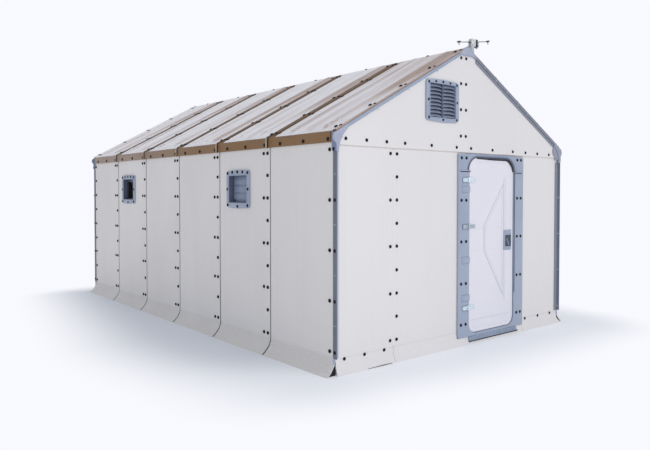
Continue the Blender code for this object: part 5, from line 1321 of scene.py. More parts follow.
body = new_body()
for place in TAB_Z:
    for inset, proud in ((0.0, 0.0026), (0.007, 0.0046)):
        left, right = FLANGE_L + 0.05 + inset, 0.041 - inset
        tab = [(left, place - 0.031 + inset), *arc((right, place - 0.019 + inset), 0.012, 270, 360, 5),
               *arc((right, place + 0.019 - inset), 0.012, 0, 90, 5), (left, place + 0.031 - inset)]
        on_frame(body, proud, tab, 0.0018)
piece("door_jamb_tabs", body, BLUE)
body = new_body()
for place in TAB_Z:
    for z in (place - 0.0335, place + 0.0315):
        on_frame(body, 0.0008, rounded(FLANGE_L + 0.052, z, 0.04, z + 0.002, 0.0009), 0.0003)
slab(body, "Y", -DOOR_FACE + 0.006, -DOOR_FACE + 0.004,
     rectangle(DOOR_RIGHT + 0.001, 0.428, DOOR_RIGHT + 0.0165, LEDGE - 0.002), 0.0004)
piece("door_jamb_shadow_lines", body, RECESS_SHADE)


def right_jamb_point(x, z, depth):
    groove = DOOR_RIGHT < x < DOOR_RIGHT + 0.0165 and z > 0.425
    return Vector((x, depth + (0.0065 if groove and abs(depth + DOOR_FACE) < 1e-5 else 0.0), z))


body = new_body()
jamb = [(DOOR_RIGHT - 0.1, FRAME_FOOT), (FLANGE_R - 0.004, FRAME_FOOT), (FLANGE_R, FRAME_FOOT + 0.004),
        (FLANGE_R, LEDGE), (DOOR_RIGHT, LEDGE),
        *reversed(arc((DOOR_RIGHT - 0.1, DOOR_LOW + 0.1), 0.1, 270, 360, 14))]
pressed_sheet(body, "Y", FRAME_BACK, -DOOR_FACE, jamb,
              ([DOOR_RIGHT + 0.016, DOOR_RIGHT + 0.018], [0.424, 0.426]), right_jamb_point, 0.0025)
piece("door_jamb_right_moulding", body, BLUE, replaces=["door_jamb_right"])

body = new_body()
tread = [(-2.7603, 0.03), (-2.785, 0.03), (-2.786, 0.034), (-2.786, 0.046), (-2.779, 0.069), (-2.7603, 0.07)]
slab(body, "X", 0.044, 0.804, tread, 0.0008)
upper = rectangle(DOOR_LEFT + 0.1003, 0.069, DOOR_RIGHT - 0.1003, DOOR_LOW)
slab(body, "Y", FRAME_BACK, -DOOR_FACE, upper, 0.002)
piece("door_sill_moulding", body, BLUE, replaces=["door_sill"])
body = new_body()
rib = [(-2.7856, 0.036), (-2.7882, 0.0365), (-2.7882, 0.0455), (-2.7815, 0.0665), (-2.779, 0.0665)]
for x in (0.052 + k * 0.0242 for k in range(31)):
    slab(body, "X", x, x + 0.0115, rib, 0.001)
piece("door_sill_ribs", body, SHUTTER)


def gasket_point(x, b, inner):
    z = 0.0252 + 0.005 * b + 0.0008 * wander(x * 9, 0, 0)
    return Vector((x, -2.764 if inner else -2.7886 + 0.003 * b * b, z))


def skirt_point(x, z, inner):
    out = HALF_L - 0.004 if inner else HALF_L + 0.0262 * (1 - z / END_SKIRT) ** 2.3
    return Vector((x, -out, z))


body = new_body()
net(body, stations(0.041, (0.822, 40)), stations(-1.0, (1.0, 4)), gasket_point)
piece("door_sill_gasket", body, GASKET_AND_SHADE)
body = new_body()
for left, right, steps, low, high, levels in ((0.0062, 0.9185, 30, 0.0012, 0.0225, 4),
                                              (0.0062, 0.043, 5, 0.0224, 0.0696, 6),
                                              (0.8052, 0.9185, 5, 0.0224, 0.0696, 6)):
    net(body, stations(left, (right, steps)), stations(low, (high, levels)), skirt_point)
piece("door_skirt_strip", body, FOAM_END)
# The ledges' pale moulding paints the light on their tops, and a black strip under each paints its shadow
body = new_body()
for left, right in ((FLANGE_L + 0.012, DOOR_LEFT + 0.012), (DOOR_RIGHT + 0.004, FLANGE_R - 0.03)):
    on_frame(body, 0.0048, rounded(left, LEDGE - 0.004, right, LEDGE + 0.005, 0.003), 0.0018)
piece("door_ledges", body, BLUE_PALE)
body = new_body()
for left, right in ((FLANGE_L + 0.03, DOOR_LEFT + 0.01), (DOOR_RIGHT + 0.006, FLANGE_R - 0.026)):
    on_frame(body, 0.0012, rounded(left, LEDGE - 0.0125, right, LEDGE - 0.0048, 0.003), 0.0006)
piece("door_ledge_shadows", body, GASKET_AND_SHADE)


# Door leaf: a pressed skin with a raised rim and kite

LEAF_BACK = -(LEAF_FACE - 0.04)
KITE = ((0.6, DOOR_HIGH - 0.24), (0.28, 1.13), (0.28, 0.88), (0.6, DOOR_LOW + 0.305))
KITE_SIDES = []
for (x, z), (next_x, next_z) in zip(KITE, KITE[1:] + KITE[:1]):
    run = Vector((next_x - x, 0, next_z - z)).normalized()
    KITE_SIDES.append((Vector((x, 0, z)), Vector((-run.z, 0, run.x))))
FIELD = 0.029
FIELD_DEPTH = 0.005
LOW_STEP, HIGH_STEP = 0.221, DOOR_HIGH - 0.046
LEAF_LINES = (0.885, 1.1)


def leaf_outline(inset):
    return rounded(DOOR_LEFT + 0.0035 + inset, DOOR_LOW + 0.0035 + inset, DOOR_RIGHT - 0.005 - inset,
                   DOOR_HIGH - 0.0035 - inset, 0.0965 - inset, 0.1265 - inset, 12)


def inside_kite(x, z):
    """Distance inwards from the kite's edges, negative outside it."""
    return min(1.0, *((x - place.x) * normal.x + (z - place.z) * normal.z for place, normal in KITE_SIDES))


def leaf_relief(x, z):
    """Depth of the leaf's skin below its face."""
    inwards = inside_kite(x, z)
    depth = 0.0052 - 0.005 * smooth(inwards, 0.0, 0.018) + 0.0014 * smooth(inwards, 0.02, 0.03)
    if 0.36 < z < 1.6:
        depth -= 0.0022 * (smooth(x, 0.606, 0.616) - smooth(x, 0.624, 0.634))
    if x < 0.6:
        depth += sum(0.0009 * near_to(z, level, 0.004) for level in LEAF_LINES)
    depth -= 0.0016 * (1 - smooth(z, 0.215, 0.232)) * smooth(x, 0.08, 0.1) * (1 - smooth(x, 0.7, 0.716))
    return depth - 0.002 * smooth(z, HIGH_STEP - 0.006, HIGH_STEP + 0.006)


def leaf_shade(x, z):
    """Share of painted shade along the leaf's pressed lines."""
    inwards = inside_kite(x, z)
    shades = [0.9 * near_to(inwards, 0.005, 0.011), 0.6 * near_to(inwards, 0.031, 0.01),
              0.45 * near_to(z, HIGH_STEP, 0.006)]
    if 0.36 < z < 1.6:
        shades += [0.8 * near_to(x, 0.606, 0.01), 0.8 * near_to(x, 0.632, 0.01)]
    if x < 0.6:
        shades += [0.35 * near_to(z, level, 0.004) for level in LEAF_LINES]
    if 0.1 < x < 0.7:
        shades.append(0.55 * near_to(z, LOW_STEP, 0.0115))
    if z > 0.232:
        shades.append(0.4 * near_to(x, 0.708, 0.008))
    return max(shades)


body = new_body()
rim = ((0.0, 0.04), (0.0, 0.007), (0.0008, 0.0035), (0.0026, 0.0012), (0.0055, 0.0002), (0.01, 0.0),
       (0.017, 0.0), (0.0195, 0.0006), (0.024, 0.003), (0.027, 0.0044), (FIELD, FIELD_DEPTH))
rings = [[body.verts.new((x, depth - LEAF_FACE, z)) for x, z in leaf_outline(inset)] for inset, depth in rim]
for first, second in zip(rings, rings[1:]):
    bridge(body, first, second)
fill(body, [rings[0]])
skin = new_body()
fill(skin, [[skin.verts.new((x, -LEAF_FACE, z)) for x, z in leaf_outline(FIELD)]])
cut(skin, planes_along(0, (0.08, 0.09, 0.1, 0.596, 0.606, 0.616, 0.622, 0.632, 0.642, 0.7, 0.708, 0.716)))
cut(skin, planes_along(2, (0.215, LOW_STEP, 0.227, 0.232, 0.3598, 0.3602, 1.5998, 1.6002, 0.881, 0.885, 0.889,
                           1.096, 1.1, 1.104, HIGH_STEP - 0.006, HIGH_STEP, HIGH_STEP + 0.006)))
for place, normal in KITE_SIDES:
    cut(skin, [(place + normal * step, normal)
               for step in (-0.006, 0.0, 0.005, 0.01, 0.016, 0.021, 0.026, 0.031, 0.041)])
edge_verts = {vert for edge in skin.edges if edge.is_boundary for vert in edge.verts}
half = mark_layers(skin)[1]
for vert in skin.verts:
    on_rim = vert in edge_verts
    depth = FIELD_DEPTH if on_rim else leaf_relief(vert.co.x, vert.co.z)
    vert[half] = (0.0, 0.0, 0.0 if on_rim else leaf_shade(vert.co.x, vert.co.z))
    vert.co.y = depth - LEAF_FACE
join(body, skin)
latch_box = rounded(LEAF_BACK - 0.001, 0.945, -2.6799, 0.995, 0.0006, steps=2)
slab(body, "X", 0.652, 0.742, latch_box, 0.0012, [rectangle(-2.6991, 0.9584, -2.6859, 0.9816)])
piece("door_leaf_skin", body, DOOR, "door", ["door_leaf"], 50.0)

# A black strip along its top edge and round the upper right corner paints the shadow in the gap to the frame,
# wider where the gap's depth shows
GAP_SHADE_LEFT, GAP_SHADE_TURN = 0.165, DOOR_RIGHT - 0.1315
outer_line, inner_line = [], []
for share in (k / 40 for k in range(41)):
    if share < 0.5:
        place = (GAP_SHADE_LEFT + (GAP_SHADE_TURN - GAP_SHADE_LEFT) * share / 0.5, DOOR_HIGH - 0.005)
        inwards = (0.0, -1.0)
        wide = 0.008 + 0.007 * smooth(share, 0.0, 0.3)
    else:
        turn = math.radians(90 - 90 * (share - 0.5) / 0.5)
        inwards = (-math.cos(turn), -math.sin(turn))
        place = (GAP_SHADE_TURN - inwards[0] * 0.1265, LEDGE - inwards[1] * 0.125)
        wide = 0.015 + 0.009 * math.sin(math.pi * (share - 0.5) / 0.5) ** 0.8
    for line, reach in ((outer_line, 0.0008), (inner_line, wide)):
        line.append((place[0] + inwards[0] * reach, place[1] + inwards[1] * reach))
body = new_body()
slab(body, "Y", -LEAF_FACE - 0.0003, -LEAF_FACE - 0.0042, outer_line + inner_line[::-1], 0.0009)
piece("door_leaf_gap_shade", body, GASKET_AND_SHADE, "door")


# Hinges: drilled plates on the jamb, and straps on the leaf

PLATE_HOLES = [(-x, z) for x, z in ((0.075, 0.01), (0.075, -0.01), (0.052, 0.0), (0.03, 0.01), (0.03, -0.01))]
STRAP_HOLES = ((0.027, 0.009), (0.027, -0.009), (0.054, 0.0), (0.08, 0.009), (0.08, -0.009))
HINGE_THIN = 0.0045


def knuckle(length):
    return (0.0056, 0.0), (0.006, 0.0006), (0.006, length - 0.0006), (0.0056, length)


def drilled(body, face, thick, outline, x, z, holes, radius):
    """A plate on a face, with holes at places counted from a point."""
    slab(body, "Y", -face - TOUCH, -face - TOUCH - thick, outline, 0.0006,
         [arc((x + a, z + b), radius, 0, 360, 12)[1:] for a, b in holes])


def plate_screws(name, face, x, z, holes, radius, rides):
    """Screw heads in all of a plate's holes but the middle one."""
    body = new_body()
    profile = ((radius, -0.0005), (radius, 0.0034 * 0.7), (radius * 0.8, 0.0034), (0.0, 0.0034))
    for a, b in holes[:2] + holes[3:]:
        lathe(body, (x + a, -face - 0.0003, z + b), (0, -1, 0), profile, 10)
    piece(name, body, LEVER, rides)


for place, name in zip(HINGE_Z, ("low", "middle", "high")):
    metal = ZINC if name == "middle" else BRIGHT
    low, high = place - 0.0225, place + 0.0225
    # A dark slab round each jamb plate paints its shadow
    body = new_body()
    slab(body, "Y", -DOOR_FACE + 0.001, -DOOR_FACE - 0.0002,
         rounded(HINGE_X - 0.089, low + 0.0008, HINGE_X - 0.012, high - 0.0008, 0.005))
    piece(f"hinge_shadow_{name}", body, RECESS_SHADE)

    body = new_body()
    outline = rounded(HINGE_X - 0.085, low + HINGE_THIN, HINGE_X - 0.0095, high - HINGE_THIN, 0.004)
    drilled(body, DOOR_FACE, 0.003, outline, HINGE_X, place, PLATE_HOLES, 0.0042)
    for foot, head in ((low, low + 0.011), (high - 0.011, high)):
        lathe(body, (HINGE_X, HINGE_Y, foot), (0, 0, 1), knuckle(head - foot))
        slab(body, "Z", foot + 0.0005, head - 0.0005,
             rectangle(HINGE_X - 0.012, HINGE_Y - 0.0005, HINGE_X - 0.003, HINGE_Y + 0.0055))
    pin = ((0.003, 0.0), (0.003, 0.0455), (0.0042, 0.046), (0.0042, 0.0475), (0.0034, 0.0482), (0.0, 0.0482))
    lathe(body, (HINGE_X, HINGE_Y, low - 0.001), (0, 0, 1), pin, 12)
    piece(f"hinge_leaf_{name}", body, metal, replaces=[f"hinge_plate_{name}"])

    body = new_body()
    lathe(body, (HINGE_X, HINGE_Y, low + 0.0115), (0, 0, 1), knuckle(0.022))
    strap_back, strap_front = -LEAF_FACE - TOUCH, -LEAF_FACE - 0.0034
    bend = [(HINGE_X + 0.003, HINGE_Y + 0.0056), (HINGE_X + 0.003, HINGE_Y - 0.0004),
            (DOOR_LEFT + 0.006, HINGE_Y - 0.0004), (DOOR_LEFT + 0.0125, strap_front),
            (DOOR_LEFT + 0.02, strap_front), (DOOR_LEFT + 0.02, strap_back),
            (DOOR_LEFT + 0.01, strap_back), (DOOR_LEFT + 0.0052, HINGE_Y + 0.005)]
    slab(body, "Z", low + 0.0125, high - 0.0125, bend)
    outline = rounded(DOOR_LEFT + 0.012, low + HINGE_THIN, HINGE_X + 0.11, high - HINGE_THIN, 0.004)
    drilled(body, LEAF_FACE, 0.0031, outline, DOOR_LEFT, place, STRAP_HOLES, 0.0045)
    piece(f"hinge_arm_{name}", body, metal, "door", [f"hinge_strap_{name}"])
    plate_screws(f"hinge_screws_{name}", DOOR_FACE, HINGE_X, place, PLATE_HOLES, 0.005, "root")
    plate_screws(f"hinge_arm_screws_{name}", LEAF_FACE, DOOR_LEFT, place, STRAP_HOLES, 0.0052, "door")


# Handle: a plate with a dark well, and the lever that throws the bolt

PLATE_LEFT, PLATE_RIGHT = 0.607, 0.73
PLATE_LOW, PLATE_HIGH = 0.868, 1.072
PLATE_BACK = -LEAF_FACE + 0.005 - TOUCH
PIVOT = Vector((PLATE_RIGHT - 0.04, PLATE_LOW + 0.057))
LEVER_FACE = -LEAF_FACE + 0.005 - 0.007
LEVER_TURN = math.radians(125.0)
WELL = (PLATE_LEFT + 0.018, PLATE_LOW + 0.036, PLATE_RIGHT - 0.008, PLATE_HIGH - 0.052)


def on_plate(body, back, front, outline, round_by, holes=()):
    """A slab in front of the handle plate's back."""
    slab(body, "Y", PLATE_BACK - back, PLATE_BACK - front, outline, round_by, holes)


def on_lever(a, b):
    """A point of the lever, a along it from its pivot and b across it."""
    along = Vector((math.cos(LEVER_TURN), math.sin(LEVER_TURN)))
    across = Vector((-math.sin(LEVER_TURN), math.cos(LEVER_TURN)))
    return tuple(PIVOT + along * a + across * b)


body = new_body()
well = rounded(*WELL, 0.008, steps=5)
on_plate(body, 0.0, 0.0062, rounded(PLATE_LEFT, PLATE_LOW, PLATE_RIGHT, PLATE_HIGH, 0.007), 0.0018, [well])
on_plate(body, 0.005, 0.0074, offset(well, 0.0035), 0.0008, [offset(well, 0.0006)])
for z in (PLATE_LOW + 0.008 + k * 0.0042 for k in range(5)):
    line = rounded(PLATE_LEFT + 0.03, z, PLATE_RIGHT - 0.018, z + 0.002, 0.0009)
    on_plate(body, 0.0055, 0.007, line, 0.0005)
piece("handle_bezel", body, BLUE, "door", ["handle_plate"])
body = new_body()
on_plate(body, 0.0001, 0.0012, offset(well, -0.0006), 0.0004)
for z in (WELL[1] + 0.046 + k * 0.014 for k in range(6)):
    on_plate(body, 0.0008, 0.0026, rounded(WELL[0] + 0.006, z, WELL[0] + 0.03, z + 0.005, 0.002), 0.0008)
piece("handle_well", body, LEVER, "door")

body = new_body()
grip = [on_lever(a, b) for a, b in (
    *arc((0.0, 0.0), 0.0105, 90, 270, 12), (0.03, -0.0085), (0.068, -0.007), (0.0735, -0.003),
    (0.0735, 0.003), (0.068, 0.007), (0.03, 0.0085))]
slab(body, "Y", LEVER_FACE + 0.0055, LEVER_FACE, grip, 0.0018)
groove = [on_lever(a, b) for a, b in ((0.016, -0.003), (0.062, -0.0022), (0.062, 0.0022), (0.016, 0.003))]
slab(body, "Y", LEVER_FACE + 0.0005, LEVER_FACE - 0.001, groove, 0.0006)
cap = ((0.0075, 0.0), (0.0075, 0.0016), (0.006, 0.0024), (0.0, 0.0024))
shaft = ((0.0068, 0.0), (0.0068, 0.012), (0.0, 0.012))
lathe(body, (PIVOT.x, LEVER_FACE + 0.0005, PIVOT.y), (0, -1, 0), cap, 18)
lathe(body, (PIVOT.x, LEVER_FACE + 0.005, PIVOT.y), (0, 1, 0), shaft, 14)
piece("handle_grip", body, SHUTTER, "handle", ["handle_lever"])


# Windows: a framed opening and a shutter hinged at its top

FRAME_FACE = HALF_W + 0.015
SHUTTER_FACE = FRAME_FACE - 0.05
PANEL_FACE = SHUTTER_FACE - 0.003
PIN_X = SHUTTER_FACE - 0.0165
PIN_Z = WINDOW_Z + 0.13 - 0.012
OPENING = (0.1675, 0.13)
SHUTTER_HALF = 0.126
LATCH = ((0.0, 0.0075, 0.118, 0.012, 0.146, 0.03, 0.005, 0.0018),
         (0.006, 0.01, 0.126, 0.016, 0.142, 0.026, 0.003, 0.0012))
WINDOW_BUTTONS = ((-0.185, 0.155), (-0.095, 0.163), (0.0, 0.166), (0.095, 0.163), (0.185, 0.155),
                  (-0.19, 0.0), (0.19, 0.0), (-0.185, -0.155), (0.0, -0.166), (0.185, -0.155))


def around(middle, level, half_width, half_height):
    return middle - half_width, level - half_height, middle + half_width, level + half_height


for side, side_name in SIDES:
    def side_slab(body, back, front, outline, round_by=0.0, holes=()):
        slab(body, "X", side * back, side * front, outline, round_by, holes)

    for bay, place_name in zip(WINDOW_BAYS, ("near", "far")):
        where = f"{side_name}_{place_name}"
        middle = window_y(bay)
        hole = rounded(*around(middle, WINDOW_Z, *OPENING), 0.016, steps=5)
        outer = bowed(*around(middle, WINDOW_Z, WINDOW_HALF[0], WINDOW_HALF[1] - 0.008), 0.008, 0.03)
        body = new_body()
        side_slab(body, HALF_W - 0.001, FRAME_FACE, outer, 0.004, [hole])
        side_slab(body, FRAME_FACE - 0.001, FRAME_FACE + 0.0028, offset(hole, 0.014), 0.002,
                  [offset(hole, 0.0035)])
        piece(f"window_moulding_{where}", body, BLUE, angle=40.0, replaces=[f"window_frame_{where}"])
        # The sleeve that lines the opening is in a dark moulding, painted shade inside the opening
        body = new_body()
        sleeve = rectangle(*around(middle, WINDOW_Z, OPENING[0] + 0.0055, OPENING[1] + 0.0055))
        side_slab(body, FRAME_FACE - 0.07, FRAME_FACE - 0.0055, sleeve, 0.0, [offset(hole, -0.0006)])
        side_slab(body, FRAME_FACE - 0.0435, FRAME_FACE - 0.0475, offset(hole, 0.001), 0.001,
                  [offset(hole, -0.009)])
        piece(f"window_sleeve_{where}", body, SLEEVE_SHADE, angle=40.0)

        low, high = WINDOW_Z - SHUTTER_HALF, WINDOW_Z + SHUTTER_HALF
        leaf, ribs, latch = new_body(), new_body(), new_body()
        side_slab(leaf, PANEL_FACE - 0.0078, PANEL_FACE,
                  rounded(*around(middle, WINDOW_Z, 0.1635, SHUTTER_HALF), 0.012, steps=5), 0.0016)
        for top in (high - 0.026 - k * 0.0745 for k in range(3)):
            step = rounded(middle - 0.15, top - 0.056, middle + 0.15, top, 0.007, steps=4)
            side_slab(ribs, PANEL_FACE - 0.0005, PANEL_FACE + 0.0028, step, 0.0024)
            field = rounded(middle - 0.138, top - 0.047, middle + 0.138, top - 0.009, 0.005, steps=4)
            side_slab(ribs, PANEL_FACE + 0.0024, PANEL_FACE + 0.0036, field, 0.001)
        for y in (-0.11, 0.0, 0.11):
            profile = ((0.005, 0.0), (0.0055, 0.0008), (0.0055, 0.0392), (0.005, 0.04))
            lathe(leaf, (side * PIN_X, middle + y - 0.02, PIN_Z), (0, 1, 0), profile, 14)
        for back, front, near, bottom, away, top, corner, round_by in LATCH:
            outline = rounded(middle + near, low + bottom, middle + away, low + top, corner)
            side_slab(latch, PANEL_FACE + back, PANEL_FACE + front, outline, round_by)
        if where == "left_far":
            swing = (Matrix.Translation((side * PIN_X, 0, PIN_Z)) @ Matrix.Rotation(-math.radians(80), 4, "Y")
                     @ Matrix.Translation((-side * PIN_X, 0, -PIN_Z)))
            for body in (leaf, ribs, latch):
                bmesh.ops.transform(body, matrix=swing, verts=body.verts)
        rides = f"{where}_shutter"
        piece(f"shutter_leaf_{where}", leaf, LOUVRE, rides, [f"shutter_{where}"], 40.0)
        piece(f"shutter_panels_{where}", ribs, SHUTTER, rides, angle=40.0)
        piece(f"shutter_latch_{where}", latch, LEVER, rides)
        buttons(f"window_buttons_{where}", [(side * (FRAME_FACE - 0.0002), middle + y, WINDOW_Z + z)
                                            for y, z in WINDOW_BUTTONS], (side, 0, 0))


# Gable vents: curved louvres each side of a mullion, over a dark back that paints the shade inside the vent

VENT_FACE = GABLE_FACE + 0.015
VENT_BUTTONS = ((-0.188, 0.158), (-0.097, 0.167), (0.0, 0.17), (0.097, 0.167), (0.188, 0.158),
                (-0.193, 0.0), (0.193, 0.0), (-0.188, -0.158), (0.0, -0.168), (0.188, -0.158))
MULLION = 0.0088
BLADES = 9

for end, name in ((-1, "vent_front"), (1, "vent_rear")):
    (left, _, low), (right, _, high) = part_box(name)
    middle = (left + right) / 2

    def end_slab(body, back, front, outline, round_by=0.0, holes=()):
        slab(body, "Y", end * back, end * front, outline, round_by, holes)

    body = new_body()
    ring = bowed(left, low + 0.01, right, high - 0.01, 0.01, 0.03)
    mouth = rounded(left + 0.048, low + 0.04, right - 0.048, high - 0.04, 0.008, steps=4)
    end_slab(body, GABLE_FACE + TOUCH, VENT_FACE, ring, 0.004, [mouth])
    end_slab(body, VENT_FACE - 0.001, VENT_FACE + 0.0026, offset(mouth, 0.01), 0.0018, [offset(mouth, 0.001)])
    end_slab(body, GABLE_FACE - 0.012, GABLE_FACE + 0.002, offset(mouth, 0.004), 0.0, [mouth])
    piece(f"{name}_moulding", body, BLUE, replaces=[name], angle=40.0)
    # The mullion is in the dark moulding that paints shade
    body = new_body()
    post = rectangle(middle - MULLION, low + 0.0405, middle + MULLION, high - 0.0405)
    end_slab(body, VENT_FACE - 0.026, VENT_FACE - 0.0075, post, 0.003)
    piece(f"{name}_mullion", body, RECESS_SHADE, replaces=[name])

    body = new_body()
    for first, last in ((left + 0.0485, middle - MULLION), (middle + MULLION, right - 0.0485)):
        for foot in (low + 0.044 + (high - low - 0.084) / BLADES * k for k in range(BLADES)):
            def blade_point(u, v, inner):
                belly = math.sin(math.pi * u) ** 0.7
                out = VENT_FACE - 0.003 - 0.0065 * (1 - belly) - 0.021 * v ** 1.25
                up = foot + 0.005 * belly * (1 - v) + 0.0285 * v - (0.0022 if inner else 0.0)
                return Vector((first + (last - first) * u, end * out, up))

            net(body, stations(0.0, (1.0, 16)), stations(0.0, (1.0, 5)), blade_point)
    piece(f"{name}_louvres", body, VANE, replaces=[name], angle=50.0)
    # A dark back closes the mouth behind its bars, painting the shade inside the vent
    body = new_body()
    end_slab(body, GABLE_FACE - 0.014, GABLE_FACE - 0.0115, mouth)
    for x in (left + 0.055 + k * (right - left - 0.11) / 10 for k in range(11)):
        bar = rectangle(x - 0.001, low + 0.042, x + 0.001, high - 0.042)
        end_slab(body, GABLE_FACE - 0.0117, GABLE_FACE - 0.0105, bar)
    piece(f"{name}_back", body, LEVER)
    buttons(f"{name}_buttons", [(middle + x, end * (VENT_FACE - 0.004), (low + high) / 2 + z)
                                for x, z in VENT_BUTTONS], (0, end, 0))


# Push buttons along the seams, and small screws

PAIR_Z = (1.805, 1.403, 0.994, 0.595, 0.18)
SINGLE_Z = (1.606, 1.2, 0.79, 0.39)
CORNER_Z = (1.797, 1.396, 0.995, 0.593, 0.188)
END_Z = (1.785, 1.39, 0.994, 0.59, 0.19)
ROOF_RUNS = (0.09, 0.5, 0.92, 1.33, 1.75)
STUD = ((0.006, -0.0002), (0.006, 0.003), (0.0048, 0.0044), (0.0, 0.0044))

for side, side_name in SIDES:
    skin = side * (HALF_W - 0.0016)
    places = [(skin, -HALF_L + 0.062, z) for z in CORNER_Z]
    places += [(skin, HALF_L - 0.062, z) for z in PAIR_Z + SINGLE_Z]
    for y in (seam_y(seam) for seam in range(1, BAYS)):
        places += [(skin, y + 0.04, z) for z in PAIR_Z + SINGLE_Z] + [(skin, y + 0.102, z) for z in PAIR_Z]
    buttons(f"wall_buttons_{side_name}", places, (side, 0, 0), TALL_BUTTON)
    post = side * (POST_X + 0.0043)
    places = [(post, end * (HALF_L + 0.006), z) for end in (-1, 1) for z in CORNER_Z[1:]]
    places += [(side * (POST_X + 0.0145), end * (HALF_L + 0.004), CORNER_Z[0]) for end in (-1, 1)]
    buttons(f"post_buttons_{side_name}", places, (side, 0, 0))
    body = new_body()
    for end in (-1, 1):
        inside = side * (POST_X - 0.0014), end * (HALF_L + 0.013)
        for z in (1.6, 1.2, 0.8, 0.4):
            lathe(body, (post, end * (HALF_L + 0.008), z), (side, 0, 0), TINY_SCREW, 10)
            lathe(body, (*inside, z), (-side, 0, 0), SMALL_SCREW, 10)
        for z in CORNER_Z:
            lathe(body, (*inside, z), (-side, 0, 0), NUT, 8)
    piece(f"post_screws_{side_name}", body, BRIGHT)
    places = [(side * (BAND_OUT - 0.0004), seam_y(bay) + BAY * share, 1.879)
              for bay in range(BAYS) for share in (0.075, 0.434, 0.805)]
    buttons(f"band_buttons_{side_name}", places, (side, 0, 0), TALL_BUTTON)

    body = new_body()
    normal = Vector((side * math.sin(ANGLE), 0, math.cos(ANGLE)))
    heads = []
    for run in ROOF_RUNS:
        for y in (seam_y(seam) for seam in range(1, BAYS)):
            heads += [(y + 0.066, run, 0.0036, TALL_BUTTON), (y - 0.066, run, 0.0036, TALL_BUTTON),
                      (y - 0.014, run, 0.0098, BUTTON)]
        for end in (-1, 1):
            heads += [(end * (HALF_L - 0.058), run, 0.0055, TALL_BUTTON),
                      (end * (HALF_L + 0.003), run, 0.0118, BUTTON)]
    heads += [(seam_y(bay) + BAY / 2, 0.034, 0.006, TALL_BUTTON) for bay in range(BAYS)]
    for y, run, rise, profile in heads:
        lathe(body, roof_place(side, y, run, rise), normal, profile, 14)
    piece(f"roof_buttons_{side_name}", body, RUBBER)

    down = Vector((-side * math.sin(ANGLE), 0, -math.cos(ANGLE)))
    for end, end_name in ENDS:
        body = new_body()
        for run in ROOF_RUNS[1:]:
            foot = roof_place(side, end * (STRIP_OUT - 0.0002), run, -STRIP_LOW + 0.004)
            lathe(body, foot, (0, end, 0), STUD, 12)
            path = [foot + down * reach + Vector((0, end * out, 0))
                    for reach, out in ((0.0, 0.001), (0.012, 0.001), (0.021, -0.002))]
            sweep(body, path, 0.0022, 8)
        for run in (0.3, 0.71, 1.12, 1.54):
            place = roof_place(side, end * (STRIP_OUT - 0.0002), run, -0.018)
            lathe(body, place, (0, end, 0), SMALL_SCREW, 10)
        piece(f"rafter_studs_{end_name}_{side_name}", body, ZINC)

GABLE_SKIN = GABLE_FACE - 0.0008
WALL_SKIN = HALF_L - 0.0012
places = [(x, -GABLE_SKIN, 1.885 - 0.002 * k) for k, x in
          enumerate((-1.496, -1.273, -1.046, -0.828, -0.489, -0.144, 0.066, 0.399, 0.737, 0.96, 1.177, 1.4))]
places += [(GABLE_MIDDLE + x, -GABLE_SKIN, z) for x in (-0.036, 0.036) for z in (2.714, 2.473, 2.23, 1.983)]
places += [(x, -WALL_SKIN, z) for x in (-0.99, -0.913) for z in END_Z]
places += [(-0.913, -WALL_SKIN, z) for z in (1.588, 1.19, 0.79, 0.39)]
places += [(x, -WALL_SKIN, 0.122) for x in (-1.5, -1.283, -1.06, 0.988, 1.226, 1.457)]
buttons("front_buttons", places, (0, -1, 0))
places = [(x, GABLE_SKIN, 1.885) for x in (-1.45, -1.15, -0.85, -0.6, -0.3, 0.0, 0.3, 0.6, 0.85, 1.15, 1.45)]
places += [(x + step, WALL_SKIN, z) for x in (-REAR_SEAM, REAR_SEAM) for step in (-0.038, 0.038) for z in END_Z]
places += [(x, WALL_SKIN, 0.122) for x in (-1.45, -1.15, -0.85, -0.25, 0.0, 0.25, 0.85, 1.15, 1.45)]
buttons("rear_buttons", places, (0, 1, 0))
places = [(x, -DOOR_FACE, z) for x in (-0.075, -0.005) for z in (1.78, 1.38, 0.987, 0.587, 0.197)]
places += [(x, -DOOR_FACE, z) for x in (0.812, 0.876) for z in (1.786, 1.393, 1.0, 0.6, 0.21)]
buttons("door_frame_buttons", places, (0, -1, 0))


# Finishes of the nodes that stay as they are

for name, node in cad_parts.items():
    for material_slot in node.material_slots:
        material_slot.material = BLUE if "lining" in name else ZINC


# Floor, light and camera

WHITE = {"Color": (0.94, 0.95, 0.995, 1.0), "Strength": 1.0}


def placed(name, data):
    made = bpy.data.objects.new(name, data)
    bpy.context.scene.collection.objects.link(made)
    return made


def mixed_into(tree, output, share, first, second):
    """Mix two shaders by a share into a tree's output."""
    both = add(tree, "MixShader", {0: share, 1: Value(first), 2: second})
    feed(tree.nodes[output].inputs["Surface"], both)


body = bmesh.new()
FLOOR_Z = -0.0006
centre = body.verts.new((0, 0, FLOOR_Z))
rings = [circle(body, Vector((0, 0, FLOOR_Z)), Vector((0, 0, 1)), (0, -1, 0), radius, 72)
         for radius in (0.5, 1, 2, 3, 4, 6, 9, 14, 22, 34)]
for k in range(72):
    body.faces.new((centre, rings[0][k], rings[0][(k + 1) % 72]))
for first, second in zip(rings, rings[1:]):
    bridge(body, first, second)
mesh = bpy.data.meshes.new("floor")
body.to_mesh(mesh)
body.free()

